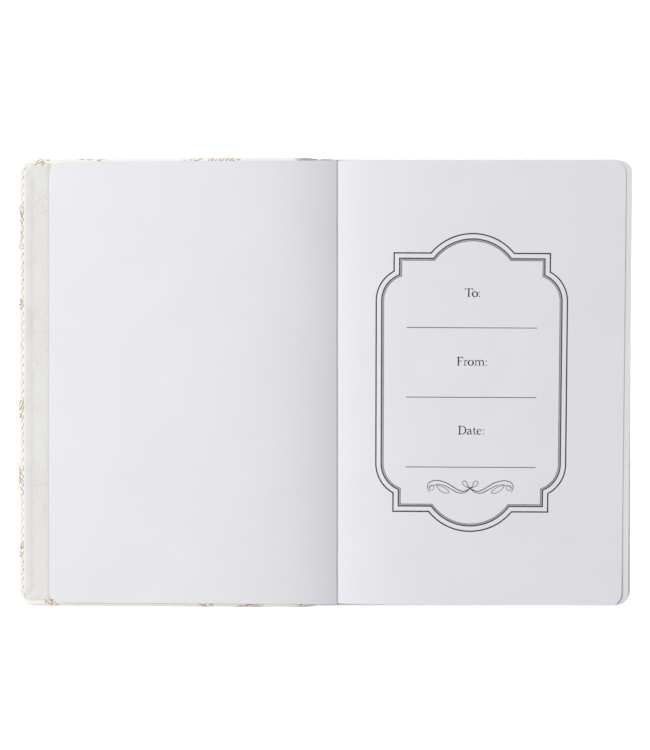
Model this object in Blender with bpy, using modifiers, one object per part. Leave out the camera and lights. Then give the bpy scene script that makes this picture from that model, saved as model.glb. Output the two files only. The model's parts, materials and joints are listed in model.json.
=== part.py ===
"""Prayer book with a flexible imitation-leather cover, lying open at its presentation leaf.

Metres, +Z up, +Y towards the head of the pages, +X towards the fore edge of the right-hand page.
The front cover and its flyleaf are turned over to the left (-X); the pages lie on the back cover.
The design frame has z = 0 at the table and x = 0 where the bound edge of the bottom section lies
when the book is closed. Every piece hangs under one empty that carries this frame to the middle
of the book's footprint.
"""

import math
from collections import namedtuple

import bmesh
import bpy
from mathutils import Matrix

MM = 0.001

# ---- pages ------------------------------------------------------------------------------------
PAGE_W = 108.0 * MM  # bound edge to fore edge
PAGE_H = 165.0 * MM
PAGE_HALF = PAGE_H / 2
PAGE_R = 4.5 * MM  # rounded fore-edge corners
SECTIONS = 12
SECTION_T = 0.98 * MM
PITCH = 1.03 * MM  # from one section up to the next
LEAF_T = 0.13 * MM
FLYLEAF_T = 0.16 * MM
AIR = 0.05 * MM  # between neighbouring sheets
SLIP = 0.22 * MM  # sideways step from one section to the next while the book is open
BLOCK_SHIFT = 1.7 * MM  # the bottom section lies this far right of its closed place while open
LEAF_START = 1.0 * MM  # paper begins this far from the fold axis, so turned leaves clear each other

# ---- cover ------------------------------------------------------------------------------------
COVER_H = PAGE_H + 2 * 1.3 * MM
COVER_HALF = COVER_H / 2
COVER_FORE = PAGE_W + 1.8 * MM  # fore edge of the back cover
COVER_R = 6.0 * MM
LEATHER_T = 0.7 * MM
BOARD_T = 1.4 * MM
TURN_T = 0.5 * MM  # leather folded over the board's edge, skived thinner
TURN_W = 5.4 * MM
PASTE_T = 0.15 * MM  # the lining paper
COVER_T = LEATHER_T + BOARD_T + TURN_T + PASTE_T + 3 * AIR
SHELL_T = COVER_T - PASTE_T - AIR  # leather, board space and turn-in
WALL = 0.85 * MM  # leather between the board's edge and the outside
EDGE_ROUND = 0.4 * MM
WINDOW_R = 1.5 * MM  # inner corners of the turn-in
LINING_INSET = 2.0 * MM  # the lining stops short of the cover's edge
LINING_R = 4.0 * MM
LINING_GAP = 0.1 * MM  # between the turn-in's inner edge and the lining's step
TRAY_R = 1.3 * MM  # corners of the lining's sunk middle
STITCH_INSET = 1.7 * MM
STITCH_R = 0.1 * MM
STITCH_LIFT = 0.02 * MM  # thread above the turn-in

# The pieces of a panel start these distances from its fold axis.
COVER_START = 1.2 * MM
BOARD_START = COVER_START + 1.0 * MM
LINING_START = COVER_START + 0.8 * MM
STITCH_START = COVER_START + 1.5 * MM

# Heights through a panel about its fold axis; the outside of the cover faces local -Z.
OUTER_Z = -COVER_T / 2
INNER_Z = COVER_T / 2
BOARD_LOW = OUTER_Z + LEATHER_T + AIR
BOARD_TOP = BOARD_LOW + BOARD_T

# ---- spine and fold axes ----------------------------------------------------------------------
HINGE_X = 0.3 * MM
HINGE_Z = COVER_T / 2
BLOCK_CLEARANCE = 0.15 * MM  # between the back cover and the back flyleaf
FRONT_CLEARANCE = 0.07 * MM  # between the front flyleaf and the front cover when closed
SECTION_Z = COVER_T + BLOCK_CLEARANCE + FLYLEAF_T + AIR  # underside of the bottom section
FOLD_X = BLOCK_SHIFT - SLIP * (SECTIONS - 2)  # in line with the top whole section
FOLD_Z = SECTION_Z + SECTIONS * PITCH  # plane that the leaves turn about
SPINE_L = FOLD_Z + FLYLEAF_T + FRONT_CLEARANCE + COVER_T / 2 - HINGE_Z  # between cover folds
PANEL = COVER_FORE - HINGE_X  # fold axis to fore edge
OPEN_REACH = 119.5 * MM  # open front cover: from the gutter to its fore edge


def open_angles():
    """Lean of the spine and slope of the front cover when that cover rests on the table."""
    slope = 0.1  # first guess, refined until it settles
    for _ in range(60):
        fold_x = FOLD_X - OPEN_REACH + PANEL * math.cos(slope)
        lean = math.asin((HINGE_X - fold_x) / SPINE_L)
        fold_z = HINGE_Z + SPINE_L * math.cos(lean)
        slope = math.asin((fold_z - COVER_T / 2 * math.cos(slope)) / PANEL)
    return lean, slope


LEAN, SLOPE = open_angles()
FLYLEAF_SLOPE = SLOPE + math.radians(0.06)
BLOCK_LEAN = math.atan(SLIP / PITCH)

# Footprint, from the open front cover's fore edge to the back cover's.
LEFTMOST_DEPTH = 0.5 * MM  # the front cover reaches furthest left this far below its inner face
FRONT_FOLD_X = HINGE_X - SPINE_L * math.sin(LEAN)
LEFT_X = (
    FRONT_FOLD_X - PANEL * math.cos(SLOPE) - (COVER_T / 2 - LEFTMOST_DEPTH) * math.sin(SLOPE)
)
CENTRE_X = (LEFT_X + COVER_FORE) / 2

# ---- modelling settings -----------------------------------------------------------------------
CORNER_STEPS = 6
WINDOW_STEPS = 3  # corners of the turn-in window and the lining's step
CUT_REACH = 5.0 * MM  # cutters pass the outline of a panel by this much
CUT_OVERRUN = 1.0 * MM  # cutters pass a face by this much

# ---- materials --------------------------------------------------------------------------------
Look = namedtuple("Look", "name rgb roughness")  # rgb is sRGB, 0 to 255

LEATHER = Look("cream imitation leather", rgb=(241, 238, 229), roughness=0.5)
BOARD = Look("grey board", rgb=(158, 146, 128), roughness=0.9)
LINING = Look("printed lining paper", rgb=(229, 228, 230), roughness=0.75)
THREAD = Look("cream thread", rgb=(238, 231, 214), roughness=0.6)
PAPER = Look("white book paper", rgb=(236, 236, 239), roughness=0.8)
FLYPAPER = Look("white flyleaf paper", rgb=(238, 238, 240), roughness=0.75)
GAUZE = Look("bleached gauze", rgb=(232, 228, 214), roughness=0.9)
KRAFT = Look("kraft spine liner", rgb=(186, 158, 120), roughness=0.9)
BAND = Look("woven head band", rgb=(240, 234, 220), roughness=0.7)


def linear(value):
    """An sRGB channel, 0 to 255, as a linear value."""
    value /= 255.0
    return value / 12.92 if value <= 0.04045 else ((value + 0.055) / 1.055) ** 2.4


def material(name, look):
    mat = bpy.data.materials.new(name)
    mat.use_nodes = True
    shader = mat.node_tree.nodes["Principled BSDF"]
    shader.inputs["Base Color"].default_value = [linear(c) for c in look.rgb] + [1.0]
    shader.inputs["Roughness"].default_value = look.roughness
    return mat


# ---- scene ------------------------------------------------------------------------------------
for obj in list(bpy.data.objects):
    bpy.data.objects.remove(obj, do_unlink=True)
for coll in list(bpy.data.collections):
    bpy.data.collections.remove(coll)

BOOK = bpy.data.collections.new("prayer_book")
CUTTERS = bpy.data.collections.new("cutters")
bpy.context.scene.collection.children.link(BOOK)
bpy.context.scene.collection.children.link(CUTTERS)
CUTTERS.hide_render = True


# ---- building helpers -------------------------------------------------------------------------
def empty(name, x, z, angle=0.0, parent=None):
    """An empty on a fold axis. The axis runs along Y; angle turns +Z towards +X."""
    obj = bpy.data.objects.new(name, None)
    obj.empty_display_size = 20 * MM
    obj.location = (x, 0.0, z)
    obj.rotation_euler = (0.0, angle, 0.0)
    obj.parent = parent
    BOOK.objects.link(obj)
    return obj


def outline(start, end, half, radius, side=1, steps=CORNER_STEPS):
    """A rectangle with its two corners at x = end rounded; side -1 mirrors it in x."""
    points = [(start, -half)]
    for centre_y, first_angle in ((-half + radius, -90.0), (half - radius, 0.0)):
        for i in range(steps + 1):
            angle = math.radians(first_angle + 90.0 * i / steps)
            x = end - radius + radius * math.cos(angle)
            points.append((x, centre_y + radius * math.sin(angle)))
    points.append((start, half))
    return [(side * x, y) for x, y in points]


def page_outline(start=LEAF_START, side=1):
    return outline(start, PAGE_W, PAGE_HALF, PAGE_R, side)


def panel_outline(start, inset, radius, side, steps=CORNER_STEPS):
    """A cover panel's outline, drawn in by inset on its three free edges."""
    return outline(start, PANEL - inset, COVER_HALF - inset, radius, side, steps)


def add_poly_spline(curve, points):
    spline = curve.splines.new("POLY")
    spline.points.add(len(points) - 1)
    for point, position in zip(spline.points, points):
        point.co = (*position, 1.0)
    return spline


def slab_mesh(name, points, z_low, z_high):
    """A flat outline as a filled 2D curve, given its thickness and made a mesh."""
    curve = bpy.data.curves.new(name, "CURVE")
    curve.dimensions = "2D"
    curve.fill_mode = "BOTH"
    curve.extrude = (z_high - z_low) / 2
    spline = add_poly_spline(curve, [(x, y, 0.0) for x, y in points])
    spline.use_cyclic_u = True
    source = bpy.data.objects.new(name, curve)
    BOOK.objects.link(source)
    bpy.context.view_layer.update()
    graph = bpy.context.evaluated_depsgraph_get()
    mesh = bpy.data.meshes.new_from_object(source.evaluated_get(graph))
    bpy.data.objects.remove(source)
    bpy.data.curves.remove(curve)

    # The curve's caps and walls come unjoined; weld them into one solid.
    bm = bmesh.new()
    bm.from_mesh(mesh)
    bmesh.ops.remove_doubles(bm, verts=bm.verts, dist=1e-6)
    bmesh.ops.recalc_face_normals(bm, faces=bm.faces)
    bm.to_mesh(mesh)
    bm.free()
    mesh.transform(Matrix.Translation((0.0, 0.0, (z_low + z_high) / 2)))
    mesh.name = name
    return mesh


def piece(name, data, look, parent):
    obj = bpy.data.objects.new(name, data)
    obj.parent = parent
    obj.data.materials.append(material(name + " " + look.name, look))
    BOOK.objects.link(obj)
    return obj


def slab(name, points, z_low, z_high, look, parent):
    return piece(name, slab_mesh(name, points, z_low, z_high), look, parent)


def upright_box(name, x_low, x_high, half, z_low, z_high, look, parent):
    """A flat upright strip along the spine."""
    mesh = bpy.data.meshes.new(name)
    bm = bmesh.new()
    bmesh.ops.create_cube(bm, size=1.0)
    bmesh.ops.scale(bm, vec=(x_high - x_low, 2 * half, z_high - z_low), verts=bm.verts)
    centre = ((x_low + x_high) / 2, 0.0, (z_low + z_high) / 2)
    bmesh.ops.translate(bm, vec=centre, verts=bm.verts)
    bm.to_mesh(mesh)
    bm.free()
    return piece(name, mesh, look, parent)


def rod(name, points, radius, look, parent, bevel_resolution=1):
    """A cord or thread: a poly curve with a round bevel and filled ends."""
    curve = bpy.data.curves.new(name, "CURVE")
    curve.dimensions = "3D"
    curve.bevel_depth = radius
    curve.bevel_resolution = bevel_resolution
    curve.use_fill_caps = True
    add_poly_spline(curve, points)
    return piece(name, curve, look, parent)


def cut(target, name, points, z_low, z_high):
    """Take a hidden slab away from the target."""
    tool = bpy.data.objects.new(name, slab_mesh(name, points, z_low, z_high))
    tool.parent = target.parent
    tool.hide_render = True
    tool.display_type = "WIRE"
    CUTTERS.objects.link(tool)
    mod = target.modifiers.new("cut " + name, "BOOLEAN")
    mod.operation = "DIFFERENCE"
    mod.solver = "EXACT"
    mod.object = tool


def round_edges(obj, width):
    mod = obj.modifiers.new("rounded edges", "BEVEL")
    mod.width = width
    mod.segments = 2
    mod.limit_method = "ANGLE"
    mod.angle_limit = math.radians(50.0)


# ---- cover panels -----------------------------------------------------------------------------
def panel_leather(prefix, side, parent):
    """Leather with a turn-in on three edges, open at the fold side where the board slides in."""
    points = panel_outline(COVER_START, 0.0, COVER_R, side)
    leather = slab(prefix + "_leather", points, OUTER_Z, OUTER_Z + SHELL_T, LEATHER, parent)
    round_edges(leather, EDGE_ROUND)
    space = panel_outline(-CUT_REACH, WALL, COVER_R - WALL, side)
    cut(leather, prefix + "_board_space", space, BOARD_LOW - AIR, BOARD_TOP + AIR)
    window = panel_outline(-CUT_REACH, TURN_W, WINDOW_R, side, WINDOW_STEPS)
    cut(leather, prefix + "_turn_in_window", window, BOARD_TOP, INNER_Z + CUT_OVERRUN)


def panel_board(prefix, side, parent):
    inset = WALL + AIR
    points = panel_outline(BOARD_START, inset, COVER_R - inset, side)
    slab(prefix + "_board", points, BOARD_LOW, BOARD_TOP, BOARD, parent)


def panel_lining(prefix, side, parent):
    """Lining paper that lies on the turn-in and steps down from it onto the board."""
    bottom = BOARD_TOP + AIR
    points = panel_outline(LINING_START, LINING_INSET, LINING_R, side)
    lining = slab(prefix + "_pastedown", points, bottom, INNER_Z, LINING, parent)

    step = TURN_W + LINING_GAP
    tray = panel_outline(-CUT_REACH, step + PASTE_T, TRAY_R, side, WINDOW_STEPS)
    cut(lining, prefix + "_lining_tray", tray, bottom + PASTE_T, INNER_Z + CUT_OVERRUN)

    # A U-shaped block that takes the underside of the lining's rim away, where the turn-in lies.
    far = PANEL + CUT_REACH
    wide = COVER_HALF + CUT_REACH
    rim = panel_outline(-CUT_REACH, step, WINDOW_R - LINING_GAP, side, WINDOW_STEPS)
    rim += [
        (side * x, y)
        for x, y in ((-CUT_REACH, wide), (far, wide), (far, -wide), (-CUT_REACH, -wide))
    ]
    cut(lining, prefix + "_lining_rim", rim, BOARD_TOP - CUT_OVERRUN, INNER_Z - PASTE_T)


def panel_stitching(prefix, side, parent):
    """Thread lying on the turn-in along the three free edges."""
    path = panel_outline(STITCH_START, STITCH_INSET, COVER_R - STITCH_INSET, side)
    z = OUTER_Z + SHELL_T + STITCH_LIFT + STITCH_R
    points = [(x, y, z) for x, y in path]
    rod(prefix + "_stitch_thread", points, STITCH_R, THREAD, parent)


def cover_panel(prefix, side, parent):
    """One stiff panel reaching from its fold axis to the right (side 1) or left (side -1)."""
    panel_leather(prefix, side, parent)
    panel_board(prefix, side, parent)
    panel_lining(prefix, side, parent)
    panel_stitching(prefix, side, parent)


# ---- spine of the cover -----------------------------------------------------------------------
SPINE_OUTER_X = -2.85 * MM
SPINE_STRIP_T = 0.4 * MM


def cover_spine(parent):
    """Spine leather with a strip of board inside it, standing on the back cover's fold."""
    inner_x = SPINE_OUTER_X + LEATHER_T
    z_low, z_high = 1.3 * MM, SPINE_L - 0.8 * MM
    leather = upright_box(
        "spine_leather", SPINE_OUTER_X, inner_x, COVER_HALF, z_low, z_high, LEATHER, parent
    )
    round_edges(leather, 0.2 * MM)

    strip_x = inner_x + AIR
    half = COVER_HALF - 1.4 * MM
    end_gap = 1.8 * MM  # from each cover fold
    upright_box(
        "spine_strip", strip_x, strip_x + SPINE_STRIP_T, half, end_gap, SPINE_L - end_gap,
        BOARD, parent,
    )


# ---- pages ------------------------------------------------------------------------------------
def whole_sections(parent):
    """Sections 12 up to 02, each a little further left; the back flyleaf goes with the last."""
    for number in range(SECTIONS, 1, -1):
        below = SECTIONS - number
        x = BLOCK_SHIFT - SLIP * below
        z = SECTION_Z + PITCH * below
        carrier = empty("section_%02d_slide" % number, x, z, parent=parent)
        points = page_outline(start=0.0)
        slab("section_%02d" % number, points, 0.0, SECTION_T, PAPER, carrier)
        if number == SECTIONS:
            slab("back_flyleaf", page_outline(), -AIR - FLYLEAF_T, -AIR, FLYPAPER, carrier)


def right_hand_leaves(fold):
    """The top two leaves and the rest of the first section, hanging below the fold line."""
    top = -AIR
    for name in ("presentation_leaf", "second_leaf"):
        slab(name, page_outline(), top - LEAF_T, top, PAPER, fold)
        top -= LEAF_T + AIR
    slab("section_01", page_outline(), -PITCH, top, PAPER, fold)


HINGE_STRIP_REACH = 8.0 * MM  # fold axis to the strip's free edge
HINGE_STRIP_HALF = 76.0 * MM
HINGE_STRIP_T = 0.13 * MM


def turned_flyleaf(fold):
    """The front flyleaf turned to the left, with a narrow strip under its folded edge."""
    fly_fold = empty("flyleaf_fold", 0.0, 0.0, -FLYLEAF_SLOPE, fold)
    slab("front_flyleaf", page_outline(side=-1), -FLYLEAF_T, 0.0, FLYPAPER, fly_fold)
    strip = [
        (-HINGE_STRIP_REACH, -HINGE_STRIP_HALF),
        (-LEAF_START, -HINGE_STRIP_HALF),
        (-LEAF_START, HINGE_STRIP_HALF),
        (-HINGE_STRIP_REACH, HINGE_STRIP_HALF),
    ]
    top = -FLYLEAF_T - AIR
    slab("front_hinge_strip", strip, top - HINGE_STRIP_T, top, LINING, fly_fold)


# ---- spine of the page block ------------------------------------------------------------------
# Heights are from the middle of the bottom section; x runs from the bound edges.
BACKING_LOW = -0.4 * MM
BACKING_HIGH = (SECTIONS - 1) * PITCH
BACKING_T = 0.15 * MM
BACKINGS = (  # name, outer x, half length, look
    ("spine_gauze", -0.62 * MM, 76.0 * MM, GAUZE),
    ("spine_liner", -0.82 * MM, 80.5 * MM, KRAFT),
)
SEWING_X = -0.32 * MM
SEWING_HALF = 72.0 * MM
SEWING_R = 0.09 * MM
SEWING_TOP = BACKING_HIGH - 0.2 * MM
BAND_X = -0.76 * MM
BAND_Y = PAGE_HALF + 0.1 * MM
BAND_R = 0.5 * MM


def sewing_thread(parent):
    """One thread running to and fro along the spine, a pass at each section."""
    points = []
    for level in range(SECTIONS):
        z = level * SEWING_TOP / (SECTIONS - 1)
        first_y = -SEWING_HALF if level % 2 == 0 else SEWING_HALF
        points += [(SEWING_X, first_y, z), (SEWING_X, -first_y, z)]
    rod("sewing_thread", points, SEWING_R, THREAD, parent, bevel_resolution=0)


def block_spine(parent):
    """Gauze, paper liner, thread and the two bands, leaning with the sections."""
    base_z = SECTION_Z + SECTION_T / 2
    fold = empty("block_spine_fold", BLOCK_SHIFT, base_z, -BLOCK_LEAN, parent)
    for name, x, half, look in BACKINGS:
        upright_box(name, x, x + BACKING_T, half, BACKING_LOW, BACKING_HIGH, look, fold)
    sewing_thread(fold)
    for name, y in (("head_band", BAND_Y), ("tail_band", -BAND_Y)):
        points = [(BAND_X, y, BACKING_LOW), (BAND_X, y, BACKING_HIGH)]
        rod(name, points, BAND_R, BAND, fold, bevel_resolution=2)


# ---- the book ---------------------------------------------------------------------------------
origin = empty("prayer_book_origin", -CENTRE_X, 0.0)

# Back cover, flat on the table under the pages.
back_fold = empty("back_cover_fold", HINGE_X, HINGE_Z, parent=origin)
cover_panel("back_cover", 1, back_fold)

# Spine, leaning over to the left.
spine_fold = empty("spine_fold", HINGE_X, HINGE_Z, -LEAN, origin)
cover_spine(spine_fold)

# Front cover, turned right over to the left, its fore edge resting on the table.
front_fold = empty("front_cover_fold", 0.0, SPINE_L, LEAN - SLOPE, spine_fold)
cover_panel("front_cover", -1, front_fold)

whole_sections(origin)

# The opened leaves share one fold line at the top of the bound edge.
leaf_fold = empty("leaf_fold", FOLD_X, FOLD_Z, parent=origin)
right_hand_leaves(leaf_fold)
turned_flyleaf(leaf_fold)

block_spine(origin)
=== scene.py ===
"""Prayer book with a soft cream cover, lying open at its presentation leaf.

Metres, +Z up, +Y towards the head of the pages, +X towards the fore edge of the right-hand
pages. The block and the back cover lie on the right; the front cover and one leaf on the left.
"""
import json
import math
import random

import bmesh
import bpy
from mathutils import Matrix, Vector


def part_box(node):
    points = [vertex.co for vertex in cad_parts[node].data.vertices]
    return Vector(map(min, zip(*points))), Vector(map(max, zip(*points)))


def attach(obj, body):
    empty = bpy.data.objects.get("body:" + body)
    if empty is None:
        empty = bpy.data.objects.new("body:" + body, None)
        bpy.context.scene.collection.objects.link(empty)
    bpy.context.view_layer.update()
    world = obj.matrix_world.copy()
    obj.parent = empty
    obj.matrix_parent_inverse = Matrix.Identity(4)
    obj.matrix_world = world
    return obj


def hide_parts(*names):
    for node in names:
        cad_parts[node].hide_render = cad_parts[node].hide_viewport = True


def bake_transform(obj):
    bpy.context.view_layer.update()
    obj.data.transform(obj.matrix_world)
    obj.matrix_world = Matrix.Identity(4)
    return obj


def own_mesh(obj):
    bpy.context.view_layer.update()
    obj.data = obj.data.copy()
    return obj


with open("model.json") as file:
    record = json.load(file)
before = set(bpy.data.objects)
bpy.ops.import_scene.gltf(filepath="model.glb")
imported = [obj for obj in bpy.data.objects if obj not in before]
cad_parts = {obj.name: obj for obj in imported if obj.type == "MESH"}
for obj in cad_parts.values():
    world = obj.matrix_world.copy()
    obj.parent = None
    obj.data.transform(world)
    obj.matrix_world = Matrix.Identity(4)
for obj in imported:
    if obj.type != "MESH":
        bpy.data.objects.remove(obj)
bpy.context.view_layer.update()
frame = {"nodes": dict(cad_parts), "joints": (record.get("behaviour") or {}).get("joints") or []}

MM = 0.001


# ---- Axes and sizes, taken from the frame --------------------------------------------------------
def joint(name):
    return next(j for j in frame["joints"] if j["name"] == name)


def fold_axis(name):
    """(x, z) of a fold; every fold runs along Y."""
    place = joint(name)["pos_m"]
    return place[0], place[2]


def open_angle(name):
    """The joint's upper limit, which lies 0.01 degrees past the pose shown."""
    return math.radians(joint(name)["range_deg"][1] - 0.01)


def plane_at(origin, angle):
    """Places (x, y, z) of a plane that is tilted about a fold through origin."""
    cos, sin = math.cos(angle), math.sin(angle)

    def place(x, y, z):
        return Vector((origin[0] + x * cos - z * sin, y, origin[1] + x * sin + z * cos))

    return place


GUTTER_X, GUTTER_Z = fold_axis("flyleaf_turn")  # fold line of the opened leaves
FRONT_FOLD = fold_axis("front_cover_turn")  # between spine and front cover
BACK_FOLD = fold_axis("spine_lean")  # between back cover and spine
BLOCK_FOLD = fold_axis("block_spine_lean")
LEAF_SLOPE = math.radians(abs(joint("flyleaf_turn")["range_deg"][0]) - 180.0)
LEAN = open_angle("spine_lean")
BLOCK_LEAN = open_angle("block_spine_lean")
SLOPE = open_angle("front_cover_turn") + LEAN - math.pi
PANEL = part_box("back_cover_leather")[1].x - BACK_FOLD[0]
COVER_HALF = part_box("back_cover_leather")[1].y
PAGE_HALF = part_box("presentation_leaf")[1].y
LEAF_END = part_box("presentation_leaf")[1].x - GUTTER_X
SPINE_LENGTH = math.hypot(FRONT_FOLD[0] - BACK_FOLD[0], FRONT_FOLD[1] - BACK_FOLD[1])
COVER_RADIUS = 6.0 * MM
PAGE_RADIUS = 4.5 * MM
HALF_THICK = BACK_FOLD[1]  # the fold axes run at the middle of the cover's thickness

front_point = plane_at(FRONT_FOLD, SLOPE)  # x is negative towards the fore edge
back_point = plane_at(BACK_FOLD, 0.0)
spine_point = plane_at(BACK_FOLD, LEAN)  # z runs up the spine
block_plane = plane_at(BLOCK_FOLD, BLOCK_LEAN)
left_plane = plane_at((GUTTER_X, GUTTER_Z), LEAF_SLOPE)


def left_leaf_point(x, y, z):
    """A point of the left-hand leaf: x from the fold towards its fore edge, z above its plane."""
    return left_plane(-x, y, z)


# ---- Materials -----------------------------------------------------------------------------------
def linear(value):
    value /= 255.0
    return value / 12.92 if value <= 0.04045 else ((value + 0.055) / 1.055) ** 2.4


def tint(rgb, factor=1.0):
    """Linear RGBA of an sRGB colour of 0 to 255, made lighter or darker by factor."""
    return tuple(min(1.0, linear(c) * factor) for c in rgb) + (1.0,)


class Shader:
    """A material in the making; its textures read object coordinates in millimetres."""

    def __init__(self, name, rgb, roughness):
        self.material = bpy.data.materials.new(name)
        self.material.use_nodes = True
        self.tree = self.material.node_tree
        self.inputs = self.tree.nodes["Principled BSDF"].inputs
        self.preset("Roughness", roughness)
        self.preset("Base Color", tint(rgb))
        self.preset("Specular IOR Level", 0.3)
        coords = self.add("ShaderNodeTexCoord")
        scale = self.add("ShaderNodeVectorMath", operation="SCALE")
        scale.inputs["Scale"].default_value = 1 / MM
        self.link(coords.outputs["Object"], scale.inputs[0])
        self.coords = scale.outputs[0]
        self.normal = coords.outputs["Normal"]

    def preset(self, name, value):
        self.inputs[name].default_value = value

    def add(self, kind, values=None, **settings):
        """A node with its settings and the values of its named inputs."""
        node = self.tree.nodes.new(kind)
        for key, value in settings.items():
            setattr(node, key, value)
        for key, value in (values or {}).items():
            node.inputs[key].default_value = value
        return node

    def link(self, source, socket):
        self.tree.links.new(source, socket)

    def put(self, value, socket):
        if hasattr(value, "is_output"):
            self.link(value, socket)
        else:
            socket.default_value = value

    def stretch(self, x=1.0, y=1.0, z=1.0, angle=0.0):
        values = {"Scale": (x, y, z), "Rotation": (0.0, 0.0, angle)}
        node = self.add("ShaderNodeMapping", values)
        self.link(self.coords, node.inputs["Vector"])
        return node.outputs["Vector"]

    def noise(self, scale, detail=3.0, roughness=0.55, vector=None):
        values = {"Scale": scale, "Detail": detail, "Roughness": roughness}
        node = self.add("ShaderNodeTexNoise", values)
        self.link(vector or self.coords, node.inputs["Vector"])
        return node.outputs["Fac"]

    def voronoi(self, scale, feature, vector):
        node = self.add("ShaderNodeTexVoronoi", {"Scale": scale}, feature=feature)
        self.link(vector, node.inputs["Vector"])
        return node.outputs["Distance"]

    def wave(self, scale, direction, distortion, vector=None):
        values = {"Scale": scale, "Distortion": distortion, "Detail": 2.0}
        node = self.add("ShaderNodeTexWave", values, bands_direction=direction)
        self.link(vector or self.coords, node.inputs["Vector"])
        return node.outputs["Fac"]

    def warped(self, wobble, reach):
        """The coordinates, pushed about by a noise."""
        node = self.add("ShaderNodeVectorMath", operation="MULTIPLY_ADD")
        self.link(wobble, node.inputs[0])
        node.inputs[1].default_value = reach
        self.link(self.coords, node.inputs[2])
        return node.outputs[0]

    def span(self, value, low, high, to_low=0.0, to_high=1.0, smooth=False):
        values = {"From Min": low, "From Max": high, "To Min": to_low, "To Max": to_high}
        node = self.add("ShaderNodeMapRange", values, clamp=True)
        node.interpolation_type = "SMOOTHSTEP" if smooth else "LINEAR"
        self.link(value, node.inputs["Value"])
        return node.outputs["Result"]

    def middle(self, pattern, to_low=0.0, to_high=1.0):
        """The middle range of a noise, spread over the given values."""
        return self.span(pattern, 0.3, 0.7, to_low, to_high)

    def math(self, operation, first, second=0.0):
        node = self.add("ShaderNodeMath", operation=operation)
        self.put(first, node.inputs[0])
        self.put(second, node.inputs[1])
        return node.outputs[0]

    def mix(self, factor, first, second):
        node = self.add("ShaderNodeMix", data_type="RGBA")
        self.put(factor, node.inputs["Factor"])
        self.put(first, node.inputs[6])  # the colour sockets A and B
        self.put(second, node.inputs[7])
        return node.outputs[2]

    def shades(self, rgb, pattern, dark, light):
        """The base colour, drifting between two factors of it."""
        return self.mix(self.middle(pattern), tint(rgb, dark), tint(rgb, light))

    def stain(self, tone, pattern, start, full, amount, colour, smooth=False):
        """Colour laid over tone where pattern rises from start to full."""
        factor = self.span(pattern, start, full, 0.0, amount, smooth)
        return self.mix(factor, tone, colour)

    def part(self, vector, index):
        node = self.add("ShaderNodeSeparateXYZ")
        self.link(vector, node.inputs[0])
        return node.outputs[index]

    def off_line(self, x):
        """Distance in millimetres from the line at x."""
        return self.math("ABSOLUTE", self.math("SUBTRACT", self.part(self.coords, 0), x * 1000.0))

    def bump(self, height, depth, strength, normal=None):
        """Relief; depth is in millimetres."""
        node = self.add("ShaderNodeBump", {"Strength": strength, "Distance": depth * MM})
        self.link(height, node.inputs["Height"])
        if normal is not None:
            self.link(normal, node.inputs["Normal"])
        return node.outputs["Normal"]

    def finish(self, colour, roughness, normal=None):
        self.link(colour, self.inputs["Base Color"])
        self.link(roughness, self.inputs["Roughness"])
        if normal is not None:
            self.link(normal, self.inputs["Normal"])
        return self.material


def paper(name, rgb, roughness, gutter=0.0, painted_gutter_colour=None):
    """Uncoated paper: cloudy formation, short fibres, a fine tooth, and painted light and shade near
    the gutter.
    """
    mat = Shader(name, rgb, roughness)
    cloud = mat.noise(scale=0.045, roughness=0.5)
    flock = mat.noise(scale=0.9, detail=4.0, roughness=0.65)
    hairs = mat.noise(scale=2.6, roughness=0.7, vector=mat.stretch(y=0.25, angle=0.4))
    tone = mat.shades(rgb, cloud, dark=0.985, light=1.012)
    tone = mat.stain(tone, flock, start=0.62, full=0.8, amount=0.35, colour=tint(rgb, 0.955))
    tone = mat.stain(tone, hairs, start=0.66, full=0.78, amount=0.30, colour=tint(rgb, 1.045))
    if gutter:
        # Painted light and shade: near the gutter the colour moves towards the gutter colour,
        # standing in for the shading of the page's curve. It fades as exp(-distance / 16 mm).
        power = mat.math("MULTIPLY", mat.off_line(GUTTER_X), -1.0 / 16.0)
        near = mat.math("POWER", 2.718, power)
        tone = mat.mix(mat.math("MULTIPLY", near, gutter), tone, painted_gutter_colour)
    rough = mat.middle(mat.noise(scale=1.4), roughness - 0.06, roughness + 0.08)
    tooth = mat.noise(scale=4.0, detail=4.0, roughness=0.7)
    normal = mat.bump(tooth, depth=0.012, strength=0.55)
    normal = mat.bump(cloud, depth=0.12, strength=0.3, normal=normal)
    return mat.finish(tone, rough, normal)


def leaf_edges(name, rgb):
    """Paper with thin lines of shadow between leaves where the edges show."""
    mat = Shader(name, rgb, roughness=0.82)
    tone = mat.shades(rgb, mat.noise(scale=0.06), dark=0.97, light=1.01)
    lines = mat.noise(
        scale=1.0, detail=2.0, roughness=0.6, vector=mat.stretch(x=0.06, y=0.06, z=8.0)
    )
    facing_up = mat.math("ABSOLUTE", mat.part(mat.normal, 2))
    upright = mat.span(facing_up, low=0.75, high=0.97, to_low=1.0, to_high=0.0, smooth=True)
    shade = mat.math("MULTIPLY", mat.span(lines, low=0.5, high=0.75, to_high=0.35), upright)
    tone = mat.mix(shade, tone, tint(rgb, 0.80))
    flock = mat.noise(scale=2.0, detail=4.0, roughness=0.7)
    tone = mat.stain(tone, flock, start=0.6, full=0.8, amount=0.3, colour=tint(rgb, 0.93))
    rough = mat.middle(mat.noise(scale=1.4), to_low=0.74, to_high=0.9)
    normal = mat.bump(lines, depth=0.04, strength=0.6)
    tooth = mat.noise(scale=4.5, detail=4.0, roughness=0.7)
    return mat.finish(tone, rough, mat.bump(tooth, depth=0.012, strength=0.5, normal=normal))


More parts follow.
